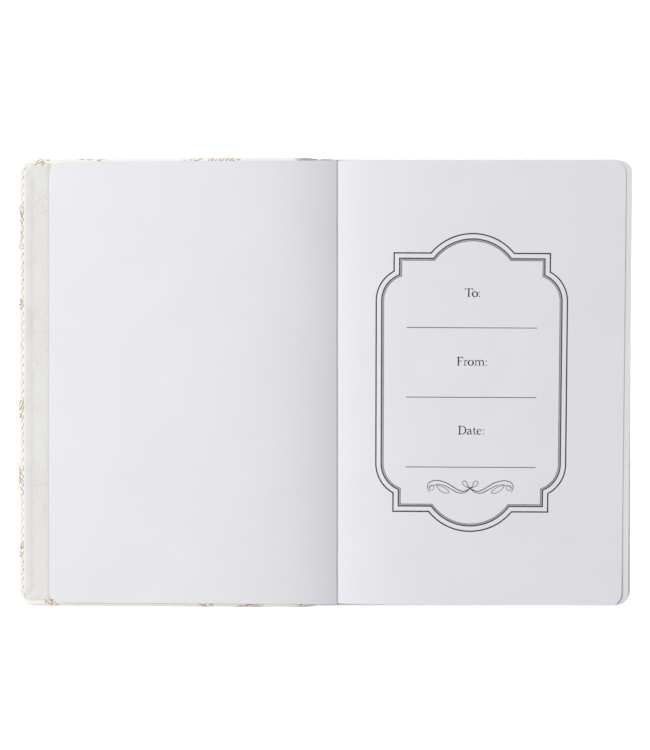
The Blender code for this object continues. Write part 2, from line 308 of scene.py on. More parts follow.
def leather(name, rgb):
    """Soft-grained imitation leather with a matt coat."""
    mat = Shader(name, rgb, roughness=0.5)
    wobble = mat.noise(scale=0.8, roughness=0.6)
    warped = mat.warped(wobble, reach=(0.8, 0.8, 0.8))
    grain = mat.voronoi(scale=1.9, feature="DISTANCE_TO_EDGE", vector=warped)
    pebble = mat.voronoi(scale=3.4, feature="F1", vector=warped)
    creases = mat.span(grain, low=0.0, high=0.16, to_low=1.0, to_high=0.0, smooth=True)
    cloud = mat.noise(scale=0.05, detail=4.0, roughness=0.6)
    tone = mat.shades(rgb, cloud, dark=0.955, light=1.02)
    patches = mat.noise(scale=0.35)
    tone = mat.stain(
        tone, patches, start=0.5, full=0.8, amount=0.5, colour=tint((239, 233, 221))
    )
    tone = mat.mix(mat.math("MULTIPLY", creases, 0.24), tone, tint((222, 212, 196)))
    rough = mat.math(
        "ADD",
        mat.span(creases, low=0.0, high=1.0, to_low=0.46, to_high=0.66),
        mat.middle(mat.noise(scale=0.5), to_low=-0.05, to_high=0.06),
    )
    domes = mat.span(pebble, low=0.0, high=0.6, to_low=1.0, to_high=0.2)
    relief = mat.math("SUBTRACT", domes, mat.math("MULTIPLY", creases, 0.8))
    normal = mat.bump(relief, depth=0.045, strength=0.55)
    normal = mat.bump(mat.noise(scale=0.22), depth=0.25, strength=0.25, normal=normal)
    mat.preset("Sheen Weight", 0.08)
    mat.preset("Specular IOR Level", 0.38)
    return mat.finish(tone, rough, normal)


def lining_paper(name, rgb, shadow_x=None):
    """Pale paper printed with a web of fine lines; a painted shadow darkens a narrow band beside a
    leaf's edge at the given x.
    """
    mat = Shader(name, rgb, roughness=0.72)
    warped = mat.warped(mat.noise(scale=0.07), reach=(16.0, 16.0, 0.0))
    flat = mat.add("ShaderNodeVectorMath", operation="MULTIPLY")
    flat.inputs[1].default_value = (1.0, 1.0, 0.0)
    mat.link(warped, flat.inputs[0])
    cells = mat.voronoi(scale=0.13, feature="DISTANCE_TO_EDGE", vector=flat.outputs[0])
    small = mat.voronoi(scale=0.31, feature="DISTANCE_TO_EDGE", vector=flat.outputs[0])
    lines = mat.span(cells, low=0.010, high=0.030, to_low=1.0, to_high=0.0, smooth=True)
    fine = mat.span(small, low=0.018, high=0.045, to_low=0.7, to_high=0.0, smooth=True)
    patches = mat.noise(scale=0.06, detail=2.0)
    where = mat.span(patches, low=0.42, high=0.58, to_low=0.25, smooth=True)
    web = mat.math("MULTIPLY", mat.math("MAXIMUM", lines, fine), where)
    tone = mat.shades(rgb, mat.noise(scale=0.05), dark=0.975, light=1.015)
    flock = mat.noise(scale=1.1, detail=4.0, roughness=0.7)
    tone = mat.stain(tone, flock, start=0.6, full=0.8, amount=0.35, colour=tint(rgb, 0.94))
    tone = mat.mix(mat.math("MULTIPLY", web, 0.26), tone, tint((178, 186, 176)))
    grey = mat.noise(scale=0.09, detail=2.0)
    tone = mat.stain(
        tone, grey, start=0.45, full=0.7, amount=0.5, colour=tint((219, 221, 216)), smooth=True
    )
    # Painted shadow: a dark band on the lining just beyond the left-hand leaf's fore edge, where the
    # leaf's shade falls.
    if shadow_x is not None:
        off = mat.off_line(shadow_x)
        leaf_shadow = mat.span(off, low=0.15, high=0.75, to_low=0.8, to_high=0.0, smooth=True)
        tone = mat.mix(leaf_shadow, tone, tint(rgb, 0.84))
    rough = mat.middle(mat.noise(scale=1.2), to_low=0.66, to_high=0.8)
    tooth = mat.noise(scale=3.0, detail=4.0, roughness=0.7)
    normal = mat.bump(tooth, depth=0.015, strength=0.5)
    swell = mat.noise(scale=0.3, detail=2.0)
    return mat.finish(tone, rough, mat.bump(swell, depth=0.12, strength=0.3, normal=normal))


def thread(name, rgb, scale, angle):
    """Twisted thread: diagonal plies with fuzz between them."""
    mat = Shader(name, rgb, roughness=0.6)
    plies = mat.wave(scale, direction="X", distortion=0.6, vector=mat.stretch(angle=angle))
    fuzz = mat.noise(scale=7.0, detail=4.0, roughness=0.7)
    # Painted shade: the grooves between the plies are darkened.
    between = mat.span(plies, low=0.0, high=0.55, to_low=0.75, to_high=0.0)
    tone = mat.mix(between, tint(rgb, 1.02), tint(rgb, 0.88))
    tone = mat.stain(tone, fuzz, start=0.5, full=0.8, amount=0.4, colour=tint((224, 208, 182)))
    rough = mat.middle(fuzz, to_low=0.5, to_high=0.75)
    normal = mat.bump(plies, depth=0.06, strength=0.8)
    mat.preset("Sheen Weight", 0.25)
    return mat.finish(tone, rough, mat.bump(fuzz, depth=0.02, strength=0.6, normal=normal))


def board(name, rgb):
    """Pressed pulp in layers, with darker flecks."""
    mat = Shader(name, rgb, roughness=0.9)
    pulp = mat.noise(scale=0.9, detail=5.0, roughness=0.7)
    layers = mat.noise(scale=1.2, roughness=0.6, vector=mat.stretch(x=0.15, y=0.15, z=6.0))
    tone = mat.shades(rgb, pulp, dark=0.82, light=1.12)
    tone = mat.stain(tone, layers, start=0.55, full=0.8, amount=0.6, colour=tint(rgb, 0.6))
    flecks = mat.noise(scale=3.2, roughness=0.6)
    tone = mat.stain(tone, flecks, start=0.66, full=0.75, amount=0.8, colour=tint((92, 84, 74)))
    rough = mat.middle(pulp, to_low=0.82, to_high=0.98)
    return mat.finish(tone, rough, mat.bump(pulp, depth=0.05, strength=0.8))


def woven(name, rgb, dark):
    """Open plain weave: crossing yarns, with painted shade darkening the spaces between them."""
    mat = Shader(name, rgb, roughness=0.88)
    along = mat.wave(scale=0.9, direction="Y", distortion=0.3)
    upward = mat.wave(scale=0.9, direction="Z", distortion=0.3)
    yarns = mat.math("MAXIMUM", along, upward)
    gap_shade = mat.span(yarns, low=0.35, high=0.75, to_low=1.0, to_high=0.0, smooth=True)
    fuzz = mat.noise(scale=5.0, detail=4.0, roughness=0.7)
    # Painted shade: between the yarns the colour darkens towards the dark tone.
    tone = mat.mix(gap_shade, tint(rgb), tint(dark))
    tone = mat.stain(tone, fuzz, start=0.45, full=0.8, amount=0.4, colour=tint(rgb, 0.82))
    rough = mat.middle(fuzz, to_low=0.8, to_high=0.95)
    normal = mat.bump(yarns, depth=0.08, strength=0.8)
    return mat.finish(tone, rough, mat.bump(fuzz, depth=0.02, strength=0.5, normal=normal))


def banded(name, rgb, other):
    """Silk wound over a core, in two tones along its length."""
    mat = Shader(name, rgb, roughness=0.62)
    turns = mat.wave(scale=0.55, direction="Z", distortion=0.3)
    plies = mat.wave(scale=3.4, direction="Z", distortion=0.5, vector=mat.stretch())
    fuzz = mat.noise(scale=6.0, detail=4.0, roughness=0.7)
    tone = mat.mix(mat.span(turns, low=0.45, high=0.55, smooth=True), tint(rgb), tint(other))
    # Painted shade: the grooves between the plies are darkened.
    between = mat.span(plies, low=0.0, high=0.4, to_low=0.6, to_high=0.0)
    tone = mat.mix(between, tone, tint(other, 0.55))
    rough = mat.middle(fuzz, to_low=0.5, to_high=0.74)
    normal = mat.bump(plies, depth=0.06, strength=0.8)
    mat.preset("Sheen Weight", 0.2)
    return mat.finish(tone, rough, mat.bump(fuzz, depth=0.02, strength=0.5, normal=normal))


def ink(name, rgb, thin):
    """Ink; thin is how far the paper pales it where the cover is uneven."""
    mat = Shader(name, rgb, roughness=0.6)
    cover = mat.noise(scale=3.0, detail=4.0, roughness=0.75)
    cloud = mat.noise(scale=0.2, detail=2.0)
    pale = mat.span(cover, low=0.45, high=0.8, to_high=thin)
    tone = mat.mix(pale, tint(rgb), tint((200, 198, 198)))
    tone = mat.stain(tone, cloud, start=0.35, full=0.65, amount=0.25, colour=tint(rgb, 1.25))
    rough = mat.middle(cover, to_low=0.5, to_high=0.72)
    return mat.finish(tone, rough, mat.bump(cover, depth=0.008, strength=0.5))


def floor_material():
    mat = Shader("studio_floor", (250, 250, 250), roughness=0.9)
    cloud = mat.middle(mat.noise(scale=0.004, detail=2.0))
    tone = mat.mix(cloud, tint((248, 248, 249)), tint((252, 252, 252)))
    mat.preset("Emission Color", (1.0, 1.0, 1.0, 1.0))
    mat.preset("Emission Strength", 0.62)
    mat.preset("Specular IOR Level", 0.0)
    rough = mat.middle(mat.noise(scale=0.3, detail=2.0), to_low=0.86, to_high=0.94)
    return mat.finish(tone, rough)


PAPER_RGB = (227, 227, 231)
LEATHER_RGB = (237, 235, 229)
# Where the painted shadow of the left-hand leaf's fore edge lies on the lining.
LEAF_SHADOW_X = left_leaf_point(LEAF_END + 0.32 * MM, 0.0, 0.0).x
# Painted shade: the flyleaf darkens towards grey near the gutter, standing in for the shade where its
# curve turns away from the key light.
LEFT_PAPER = paper(
    "flyleaf_stock", (222, 221, 225), 0.76, gutter=0.46, painted_gutter_colour=tint((174, 176, 183))
)
# Painted light: the presentation leaf turns lighter near the gutter, standing in for the light on its
# curve rising from the gutter.
RIGHT_PAPER = paper(
    "presentation_stock", PAPER_RGB, 0.78, gutter=0.55, painted_gutter_colour=tint(PAPER_RGB, 1.14)
)
PAGE_PAPER = paper("book_stock", PAPER_RGB, 0.8)
BLOCK_PAPER = leaf_edges("book_block", PAPER_RGB)
FRONT_LEATHER = leather("front_leather", LEATHER_RGB)
BACK_LEATHER = leather("back_leather", LEATHER_RGB)
LINING = lining_paper("lining_print", (219, 216, 216), shadow_x=LEAF_SHADOW_X)
JOINT_PAPER = lining_paper("joint_paper", (226, 225, 224))
EDGE_THREAD = thread("edge_thread", (246, 242, 230), scale=3.2, angle=0.7)
SEWING_THREAD = thread("sewing_thread_fibre", (236, 230, 214), scale=5.0, angle=0.0)
HOLE_SHADE = ink("needle_hole_shade", (150, 136, 120), thin=0.20)
TAN_INK = ink("tan_ink", (182, 156, 134), thin=0.40)
FRAME_INK = ink("frame_ink", (46, 45, 49), thin=0.08)
LIGHT_INK = ink("frame_ink_light", (168, 163, 161), thin=0.24)
RULE_INK = ink("rule_ink", (66, 66, 70), thin=0.12)
LABEL_INK = ink("label_ink", (18, 18, 22), thin=0.04)
GREY_BOARD = board("grey_board_pulp", (158, 146, 128))
KRAFT = board("kraft_fibre", (186, 158, 120))
GAUZE = woven("bleached_gauze", (232, 228, 214), dark=(196, 188, 168))
BAND_SILK = banded("band_silk", (240, 234, 220), other=(204, 184, 158))


# ---- Sheets, lines and threads -------------------------------------------------------------------
def add_piece(name, mesh, material, angle=40.0):
    """Makes an object; edges sharper than angle degrees stay sharp."""
    bmesh.ops.recalc_face_normals(mesh, faces=mesh.faces)
    data = bpy.data.meshes.new(name)
    mesh.to_mesh(data)
    mesh.free()
    data.shade_smooth()
    data.set_sharp_from_angle(angle=math.radians(angle))
    obj = bpy.data.objects.new(name, data)
    obj.data.materials.append(material)
    bpy.context.scene.collection.objects.link(obj)
    return obj


def fit(obj, slot, body, *stands_for):
    """Lets a piece ride its body and hides the frame pieces it stands for; slot is not used."""
    if stands_for:
        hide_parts(*stands_for)
    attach(obj, body)


def ease(t):
    t = min(1.0, max(0.0, t))
    return t * t * (3 - 2 * t)


def stations(start, end, count):
    return [start + (end - start) * i / count for i in range(count + 1)]


def spread(start, end, step):
    """Evenly spaced numbers from start up to, but not reaching, end."""
    return stations(start, end, max(1, round((end - start) / step)))[:-1]


def pairs(items, closed=False):
    return list(zip(items, items[1:])) + ([(items[-1], items[0])] if closed else [])


def arc(centre_x, centre_y, radius_x, radius_y, start, end, steps):
    """Points of an elliptical arc, with its angles in degrees."""
    angles = [math.radians(start + (end - start) * i / steps) for i in range(steps + 1)]
    return [(centre_x + radius_x * math.cos(a), centre_y + radius_y * math.sin(a)) for a in angles]


def fill_grid(mesh, grid):
    for near, far in pairs(grid):
        for c in range(len(near) - 1):
            mesh.faces.new((near[c], near[c + 1], far[c + 1], far[c]))


def loft(mesh, rings, closed=False):
    """Faces through rings of vertices, capped at both ends unless the line is closed."""
    for near, far in pairs(rings, closed):
        for j in range(len(near)):
            k = (j + 1) % len(near)
            mesh.faces.new((near[j], near[k], far[k], far[j]))
    if not closed:
        mesh.faces.new(rings[0])
        mesh.faces.new(rings[-1][::-1])


class Sheet:
    """A sheet with a straight edge at x0 and two rounded corners at its fore edge.

    arms are the stations along head and tail, rows the points between the corners, arcs the
    steps round a corner.
    """

    def __init__(self, x0, x_end, half, radius, arms, rows, arcs=8):
        self.x0, self.x_end, self.half, self.radius = x0, x_end, half, radius
        self.arms, self.arcs = arms, arcs
        self.fore = [(i + 1) / (rows + 1) for i in range(rows)]

    def corner(self, inset, least):
        """Radius and centre of the head corner."""
        radius = max(self.radius - inset, least)
        return radius, self.x_end - inset - radius, self.half - inset - radius

    def arm_xs(self, centre_x):
        scale = (centre_x - self.x0) / (self.x_end - self.radius - self.x0)
        return [self.x0 + (x - self.x0) * scale for x in self.arms]

    def ring(self, inset, least):
        radius, centre_x, centre_y = self.corner(inset, least)
        xs = self.arm_xs(centre_x)
        points = [(x, inset - self.half) for x in xs]
        points += arc(centre_x, -centre_y, radius, radius, -90.0, 0.0, self.arcs)
        points += [(self.x_end - inset, -centre_y + 2 * centre_y * v) for v in self.fore]
        points += arc(centre_x, centre_y, radius, radius, 0.0, 90.0, self.arcs)
        return points + [(x, self.half - inset) for x in reversed(xs)]

    def shell(self, name, rings, warp, material, angle=40.0):
        """A closed body lofted through rings of (inset from the edge, height)."""
        mesh = bmesh.new()
        arms, arcs = len(self.arms), self.arcs
        tail, head = arms, arms + arcs + 1 + len(self.fore)  # where the corners start
        # On the first and last ring each corner shrinks to one vertex.
        merged = {*range(tail + 1, tail + arcs + 1), *range(head + 1, head + arcs + 1)}
        loops = []
        for index, (inset, z) in enumerate(rings):
            cap = index in (0, len(rings) - 1)
            loop = []
            for j, (x, y) in enumerate(self.ring(inset, 0.0 if cap else 0.3 * MM)):
                shared = cap and j in merged
                loop.append(loop[-1] if shared else mesh.verts.new(warp(x, y, z)))
            loops.append(loop)
        for near, far in pairs(loops):
            for j in range(len(near) - 1):
                corners = list(dict.fromkeys((near[j], near[j + 1], far[j + 1], far[j])))
                if len(corners) > 2:
                    mesh.faces.new(corners)
        for loop, (inset, z) in ((loops[0], rings[0]), (loops[-1], rings[-1])):
            _, centre_x, centre_y = self.corner(inset, 0.0)
            xs = self.arm_xs(centre_x)
            grid = [loop[: arms + 1]]
            for v, end in zip(self.fore, loop[tail + arcs + 1 : head]):
                y = -centre_y + 2 * centre_y * v
                grid.append([mesh.verts.new(warp(x, y, z)) for x in xs] + [end])
            grid.append(loop[-arms:][::-1] + [loop[head]])
            fill_grid(mesh, grid)
        bmesh.ops.holes_fill(mesh, edges=[e for e in mesh.edges if e.is_boundary], sides=0)
        return add_piece(name, mesh, material, angle)


def slab(name, place, across, half, rows, levels, material):
    """A rectangular sheet between two levels; across lists its stations from edge to edge."""
    mesh = bmesh.new()
    ys = stations(-half, half, rows)
    low, high = [
        [[mesh.verts.new(place(u, y, level)) for u in across] for y in ys] for level in levels
    ]
    fill_grid(mesh, low)
    fill_grid(mesh, high)
    last = len(across) - 1
    for c in range(last):
        for r in (0, rows):
            mesh.faces.new((low[r][c], low[r][c + 1], high[r][c + 1], high[r][c]))
    for r in range(rows):
        for c in (0, last):
            mesh.faces.new((low[r][c], low[r + 1][c], high[r + 1][c], high[r][c]))
    return add_piece(name, mesh, material)


def ribbon(mesh, points, normals, widths, lift, sink, closed=False):
    """A line of ink on a surface, three-cornered in section so that it has real thickness."""
    count = len(points)
    if not isinstance(widths, list):
        widths = [widths] * count
    rows = []
    for i, (point, normal) in enumerate(zip(points, normals)):
        if closed:
            before, after = points[i - 1], points[(i + 1) % count]
        else:
            before, after = points[max(i - 1, 0)], points[min(i + 1, count - 1)]
        along = after - before
        if along.length < 1e-9:
            along = Vector((1.0, 0.0, 0.0))
        along.normalize()
        side = along.cross(normal).normalized()
        half = widths[i] / 2
        if closed or 0 < i < count - 1:
            # Widen at a bend, so that the line keeps its weight.
            one, two = point - before, after - point
            if one.length > 1e-9 and two.length > 1e-9:
                bend = (1 + one.normalized().dot(two.normalized())) / 2
                half /= max(0.5, math.sqrt(max(0.0, bend)))
        corners = (
            point - side * half - normal * sink,
            point + normal * lift,
            point + side * half - normal * sink,
        )
        rows.append([mesh.verts.new(corner) for corner in corners])
    loft(mesh, rows, closed)


def tube(mesh, points, sizes, up, sides):
    """A thread through points; sizes are (half width, half height), one pair or one a point."""
    if not isinstance(sizes, list):
        sizes = [sizes] * len(points)
    turns = [2 * math.pi * k / sides for k in range(sides)]
    rows = []
    for i, (point, (width, height)) in enumerate(zip(points, sizes)):
        along = points[min(i + 1, len(points) - 1)] - points[max(i - 1, 0)]
        along.normalize()
        side = along.cross(up).normalized()
        top = side.cross(along).normalized()
        rows.append([
            mesh.verts.new(point + side * (width * math.cos(a)) + top * (height * math.sin(a)))
            for a in turns
        ])
    loft(mesh, rows)


def smooth_line(points, closed, steps):
    """Catmull-Rom curve through 2D points."""
    curve = []
    count = len(points)
    for i in range(count if closed else count - 1):
        p = [
            points[(i + k) % count] if closed else points[min(max(i + k, 0), count - 1)]
            for k in (-1, 0, 1, 2)
        ]
        for s in range(steps):
            t = s / steps
            curve.append(tuple(
                0.5
                * (
                    2 * p[1][a]
                    + (p[2][a] - p[0][a]) * t
                    + (2 * p[0][a] - 5 * p[1][a] + 4 * p[2][a] - p[3][a]) * t * t
                    + (3 * p[1][a] - p[0][a] - 3 * p[2][a] + p[3][a]) * t**3
                )
                for a in (0, 1)
            ))
    if not closed:
        curve.append(tuple(points[-1]))
    return curve


def split_line(points, step, closed=False):
    """The same line with extra points, so that it can follow a curved surface."""
    line = []
    for (x0, y0), (x1, y1) in pairs(points, closed):
        count = max(1, int(math.hypot(x1 - x0, y1 - y0) / step))
        line += [(x0 + (x1 - x0) * i / count, y0 + (y1 - y0) * i / count) for i in range(count)]
    if not closed:
        line.append(tuple(points[-1]))
    return line


def turned(line, x, y, angle):
    cos, sin = math.cos(angle), math.sin(angle)
    return [(x + a * cos - b * sin, y + a * sin + b * cos) for a, b in line]


# ---- Cover: one skin from the middle of the spine over each fold and round the panel -------------
LEATHER = 0.7 * MM
LEATHER_MIDDLE = LEATHER / 2  # from the outside face
SPINE_OUT = -2.85 * MM  # outside face of the spine in its own coordinates


class Skin:
    """The unrolled cover: run goes from the middle of the spine to the fore edge.

    Height is measured from the outside face inwards. The straight part over the spine turns
    through an arc of the given radius into the panel.
    """

    def __init__(self, name, place, heading, panel_heading, side, radius):
        self.name, self.place, self.side = name, place, side
        self.heading, self.radius = heading, radius
        middle = spine_point(SPINE_OUT + LEATHER_MIDDLE, 0.0, SPINE_LENGTH / 2)
        x, z = self.start = middle.x, middle.z
        origin = place(0.0, 0.0, LEATHER_MIDDLE - HALF_THICK)
        cos, sin = math.cos(heading), math.sin(heading)
        panel_cos, panel_sin = math.cos(panel_heading), math.sin(panel_heading)
        # The corner where the lines of the spine and the panel would meet.
        corner_at = ((origin.x - x) * panel_sin - (origin.z - z) * panel_cos) / (
            cos * panel_sin - sin * panel_cos
        )
        corner_x, corner_z = x + cos * corner_at, z + sin * corner_at
        turn = panel_heading - heading
        cut = radius * math.tan(turn / 2)
        self.straight = corner_at - cut
        self.arc = radius * turn
        before = (corner_x - origin.x) * panel_cos + (corner_z - origin.z) * panel_sin
        self.panel_at = self.straight + self.arc - cut - before  # run of the fold axis
        self.end = self.panel_at + PANEL

    def at(self, run):
        """(x, z, heading) along the middle of the leather."""
        x, z = self.start
        cos, sin = math.cos(self.heading), math.sin(self.heading)
        if run <= self.straight:
            return x + cos * run, z + sin * run, self.heading
        x, z = x + cos * self.straight, z + sin * self.straight
        heading = self.heading + min(run - self.straight, self.arc) / self.radius
        x, z = x - sin * self.radius, z + cos * self.radius
        x, z = x + math.sin(heading) * self.radius, z - math.cos(heading) * self.radius
        rest = run - self.straight - self.arc
        if rest > 0:
            x, z = x + math.cos(heading) * rest, z + math.sin(heading) * rest
        return x, z, heading

    def point(self, run, y, height):
        if height > LEATHER:
            # The folded-over leather sinks towards the outer leather over the spine.
            squeeze = 0.36 + 0.64 * ease((run - self.straight) / (self.arc + 1.4 * MM))
            height = LEATHER + (height - LEATHER) * squeeze
        x, z, heading = self.at(run)
        depth = (height - LEATHER_MIDDLE) * self.side
        return Vector((x - math.sin(heading) * depth, y, z + math.cos(heading) * depth))

    def inward(self, run):
        heading = self.at(run)[2]
        return Vector((-math.sin(heading), 0.0, math.cos(heading))) * self.side


FRONT = Skin(
    "front_cover", front_point, math.pi / 2 + LEAN, math.pi + SLOPE, side=-1, radius=2.6 * MM
)
BACK = Skin("back_cover", back_point, LEAN - math.pi / 2, 0.0, side=1, radius=3.0 * MM)

# Section through the leather at an edge, from the outer face round the rim to the turn-in and
# back inside: (inset from the edge, height above the outside face), in millimetres.
SKIN_RINGS = [
    (6.6, 0.0), (4.6, 0.0), (3.6, 0.0), (3.0, 0.0), (2.65, 0.012), (2.35, 0.07), (2.1, 0.10),
    (1.85, 0.07), (1.5, 0.025), (1.0, 0.035), (0.5, 0.19), (0.24, 0.45), (0.07, 0.85),
    (0.0, 1.32), (0.05, 1.8), (0.2, 2.2), (0.45, 2.5), (0.85, 2.66), (1.4, 2.695), (1.85, 2.63),
    (2.1, 2.585), (2.35, 2.63), (2.65, 2.685), (3.0, 2.7), (3.6, 2.7), (4.4, 2.69), (5.0, 2.655),
    (5.35, 2.56), (5.45, 2.4), (5.36, 2.26), (5.0, 2.21), (3.4, 2.2), (1.6, 2.19), (0.98, 2.1),
    (0.82, 1.8), (0.8, 1.3), (0.84, 0.86), (1.1, 0.71), (2.6, 0.7), (4.6, 0.7), (6.6, 0.7),
]
# The lining's section, in the same columns, from its inner layer out over the turn-in.
LINING_RINGS = [
    (12.0, 2.19), (7.0, 2.19), (6.1, 2.22), (5.72, 2.42), (5.5, 2.66), (5.1, 2.735), (4.4, 2.75),
    (3.4, 2.75), (2.61, 2.755), (2.54, 2.79), (2.55, 2.855), (2.63, 2.885), (3.4, 2.893),
    (4.3, 2.89), (5.0, 2.87), (5.5, 2.825), (5.9, 2.785), (6.4, 2.765), (7.4, 2.755), (9.5, 2.745),
    (12.0, 2.74),
]


def in_metres(rings):
    return [(inset * MM, z * MM) for inset, z in rings]


def make_cover(skin, material, panel_reach, *stands_for):
    """The leather skin over the spine, round its fold and over the panel; panel_reach goes only into
    a list that is never used.
    """
    fold = skin.straight
    bend_end = fold + skin.arc + 1.6 * MM
    arms = (
        spread(0.0, fold - 0.6 * MM, 1.5 * MM)
        + spread(fold - 0.6 * MM, bend_end, 0.32 * MM)
        + spread(bend_end, skin.end - COVER_RADIUS, 3.6 * MM)
    )
    rim = 9 * MM

    def warp(x, y, height):
        # The rim of a soft cover is never quite even.
        edge = max(0.0, 1.0 - (COVER_HALF - abs(y)) / rim) + max(0.0, 1.0 - (skin.end - x) / rim)
        along = x if abs(y) > COVER_HALF - rim else y
        waves = math.sin(along / (9.3 * MM) + 0.4) + 0.6 * math.sin(along / (4.1 * MM) + 1.7)
        sway = 0.035 * MM * edge * waves
        # The spine is slightly shorter than the panels.
        y *= 1 - 0.0066 * (1 - ease((x - fold + 10 * MM) / (8 * MM)))
        return skin.point(x, y, height) + skin.inward(x) * (sway if height > 1.0 * MM else 0.0)

    sheet = Sheet(0.0, skin.end, COVER_HALF, COVER_RADIUS, arms, 44, 10)
    obj = sheet.shell(skin.name + "_skin", in_metres(SKIN_RINGS), warp, material, 55.0)
    ends = [
        ("spine", skin.point(fold - 1.4 * MM, 0.0, LEATHER_MIDDLE).x),
        (skin.name, skin.place(skin.side * panel_reach, 0.0, 0.0).x),
    ]
    if skin is BACK:
        ends.reverse()
    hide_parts(*stands_for)
    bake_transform(obj)


def make_lining(skin):
    start = skin.panel_at + 3.0 * MM
    arms = spread(start, skin.end - COVER_RADIUS, 3.2 * MM)

    def warp(x, y, height):
        ripple = 0.02 * MM * math.sin(x / (11 * MM)) * math.sin(y / (13 * MM) + 0.8)
        z = height - HALF_THICK + (ripple if height < 2.5 * MM else 0.0)
        return skin.place(skin.side * (x - skin.panel_at), y, z)

    sheet = Sheet(start, skin.end, COVER_HALF, COVER_RADIUS, arms, 50)
    obj = sheet.shell(skin.name + "_lining", in_metres(LINING_RINGS), warp, LINING, 60.0)
    fit(obj, "lining", skin.name, skin.name + "_pastedown")


make_cover(FRONT, FRONT_LEATHER, 2.5 * MM, "front_cover_leather", "spine_leather")
make_cover(BACK, BACK_LEATHER, 2.4 * MM, "back_cover_leather")
make_lining(FRONT)
make_lining(BACK)

# ---- Edge stitching ------------------------------------------------------------------------------
STITCH_PITCH = 3.2 * MM
STITCH_INSET = 2.1 * MM
PATH_STEP = 0.05 * MM


def stitch_path(skin):
    """Closely spaced points of the stitch line: (run, y, direction in the sheet's plane)."""
    start = skin.panel_at + 3.4 * MM
    radius = COVER_RADIUS - STITCH_INSET
    half = COVER_HALF - STITCH_INSET
    x_end = skin.end - STITCH_INSET
    quarter = math.pi / 2
    arm_count = int((x_end - radius - start) / PATH_STEP)
    arc_count = int(radius * math.pi / 2 / PATH_STEP)
    fore_count = int((2 * half - 2 * radius) / PATH_STEP)

    def corner(first, centre_y):
        angles = [first + quarter * i / arc_count for i in range(arc_count)]
        return [
            (x_end - radius + radius * math.cos(a), centre_y + radius * math.sin(a), a + quarter)
            for a in angles
        ]

    path = [(start + i * PATH_STEP, -half, 0.0) for i in range(arm_count)]
    path += corner(-quarter, -half + radius)
    path += [(x_end, -half + radius + i * PATH_STEP, quarter) for i in range(fore_count)]
    path += corner(0.0, half - radius)
    return path + [(x_end - radius - i * PATH_STEP, half, math.pi) for i in range(arm_count)]


def add_stitch(mesh, skin, run, y, angle, length, height, up):
    """One length of thread, sunk at both ends."""
    points, sizes = [], []
    for t in (-1.0, -0.88, -0.6, -0.25, 0.1, 0.45, 0.75, 0.92, 1.0):
        rise = (0.10 * (1 - t * t) - 0.13 * t**6) * MM
        reach = length * t
        place = skin.point(run + math.cos(angle) * reach, y + math.sin(angle) * reach, height)
        points.append(place + up * rise)
        taper = abs(t) ** 3
        sizes.append((0.24 * (1 - 0.35 * taper) * MM, 0.13 * MM * (1 - 0.3 * taper)))
    tube(mesh, points, sizes, up, 8)


def add_needle_hole(mesh, skin, run, y, height, up):
    """A small dished ring, closed underneath."""
    centre = skin.point(run, y, height)
    along = skin.point(run + 0.1 * MM, y, height) - centre
    along.normalize()
    across = up.cross(along)
    outer, inner = [], []
    for s in range(10):
        angle = 2 * math.pi * s / 10
        ray = along * math.cos(angle) + across * math.sin(angle)
        outer.append(mesh.verts.new(centre + ray * 0.30 * MM - up * 0.03 * MM))
        inner.append(mesh.verts.new(centre + ray * 0.19 * MM + up * 0.022 * MM))
    dish = mesh.verts.new(centre - up * 0.06 * MM)
    base = mesh.verts.new(centre - up * 0.12 * MM)
    for s in range(10):
        t = (s + 1) % 10
        mesh.faces.new((outer[s], outer[t], inner[t], inner[s]))
        mesh.faces.new((inner[s], inner[t], dish))
        mesh.faces.new((outer[t], outer[s], base))


def make_stitches(skin, face, seed, height, outward):
    """Slanted stitches with a needle hole between neighbours.

    outward is 1 on the inner face of the cover and -1 on the outer face.
    """
    dice = random.Random(seed)
    path = stitch_path(skin)
    every = int(STITCH_PITCH / PATH_STEP)
    threads, holes = bmesh.new(), bmesh.new()
    for k in range(every // 2, len(path) - every // 2, every):
        run, y, angle = path[k]
        angle += math.radians(15.0 + dice.uniform(-3, 3)) * outward
        up = skin.inward(run) * outward
        length = 1.12 * MM * dice.uniform(0.95, 1.05)
        add_stitch(threads, skin, run, y, angle, length, height, up)
        run, y, _ = path[min(k + every // 2, len(path) - 1)]
        add_needle_hole(holes, skin, run, y, height, up)
    obj = add_piece(f"{skin.name}_stitches_{face}", threads, EDGE_THREAD, 70.0)
    fit(obj, "cream_thread", skin.name)
    dots = add_piece(f"{skin.name}_needle_holes_{face}", holes, HOLE_SHADE, 30.0)
    fit(dots, "cream_leather", skin.name)
    return obj


for skin in (FRONT, BACK):
    stitches = make_stitches(skin, "inner", seed=11, height=2.585 * MM, outward=1)
    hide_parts(skin.name + "_stitch_thread")
    make_stitches(skin, "outer", seed=12, height=0.10 * MM, outward=-1)

# ---- Tan line ornament ---------------------------------------------------------------------------
RIM = SKIN_RINGS[: SKIN_RINGS.index((5.0, 2.655)) + 1]
RIM_MIDDLE = RIM.index((0.0, 1.32))

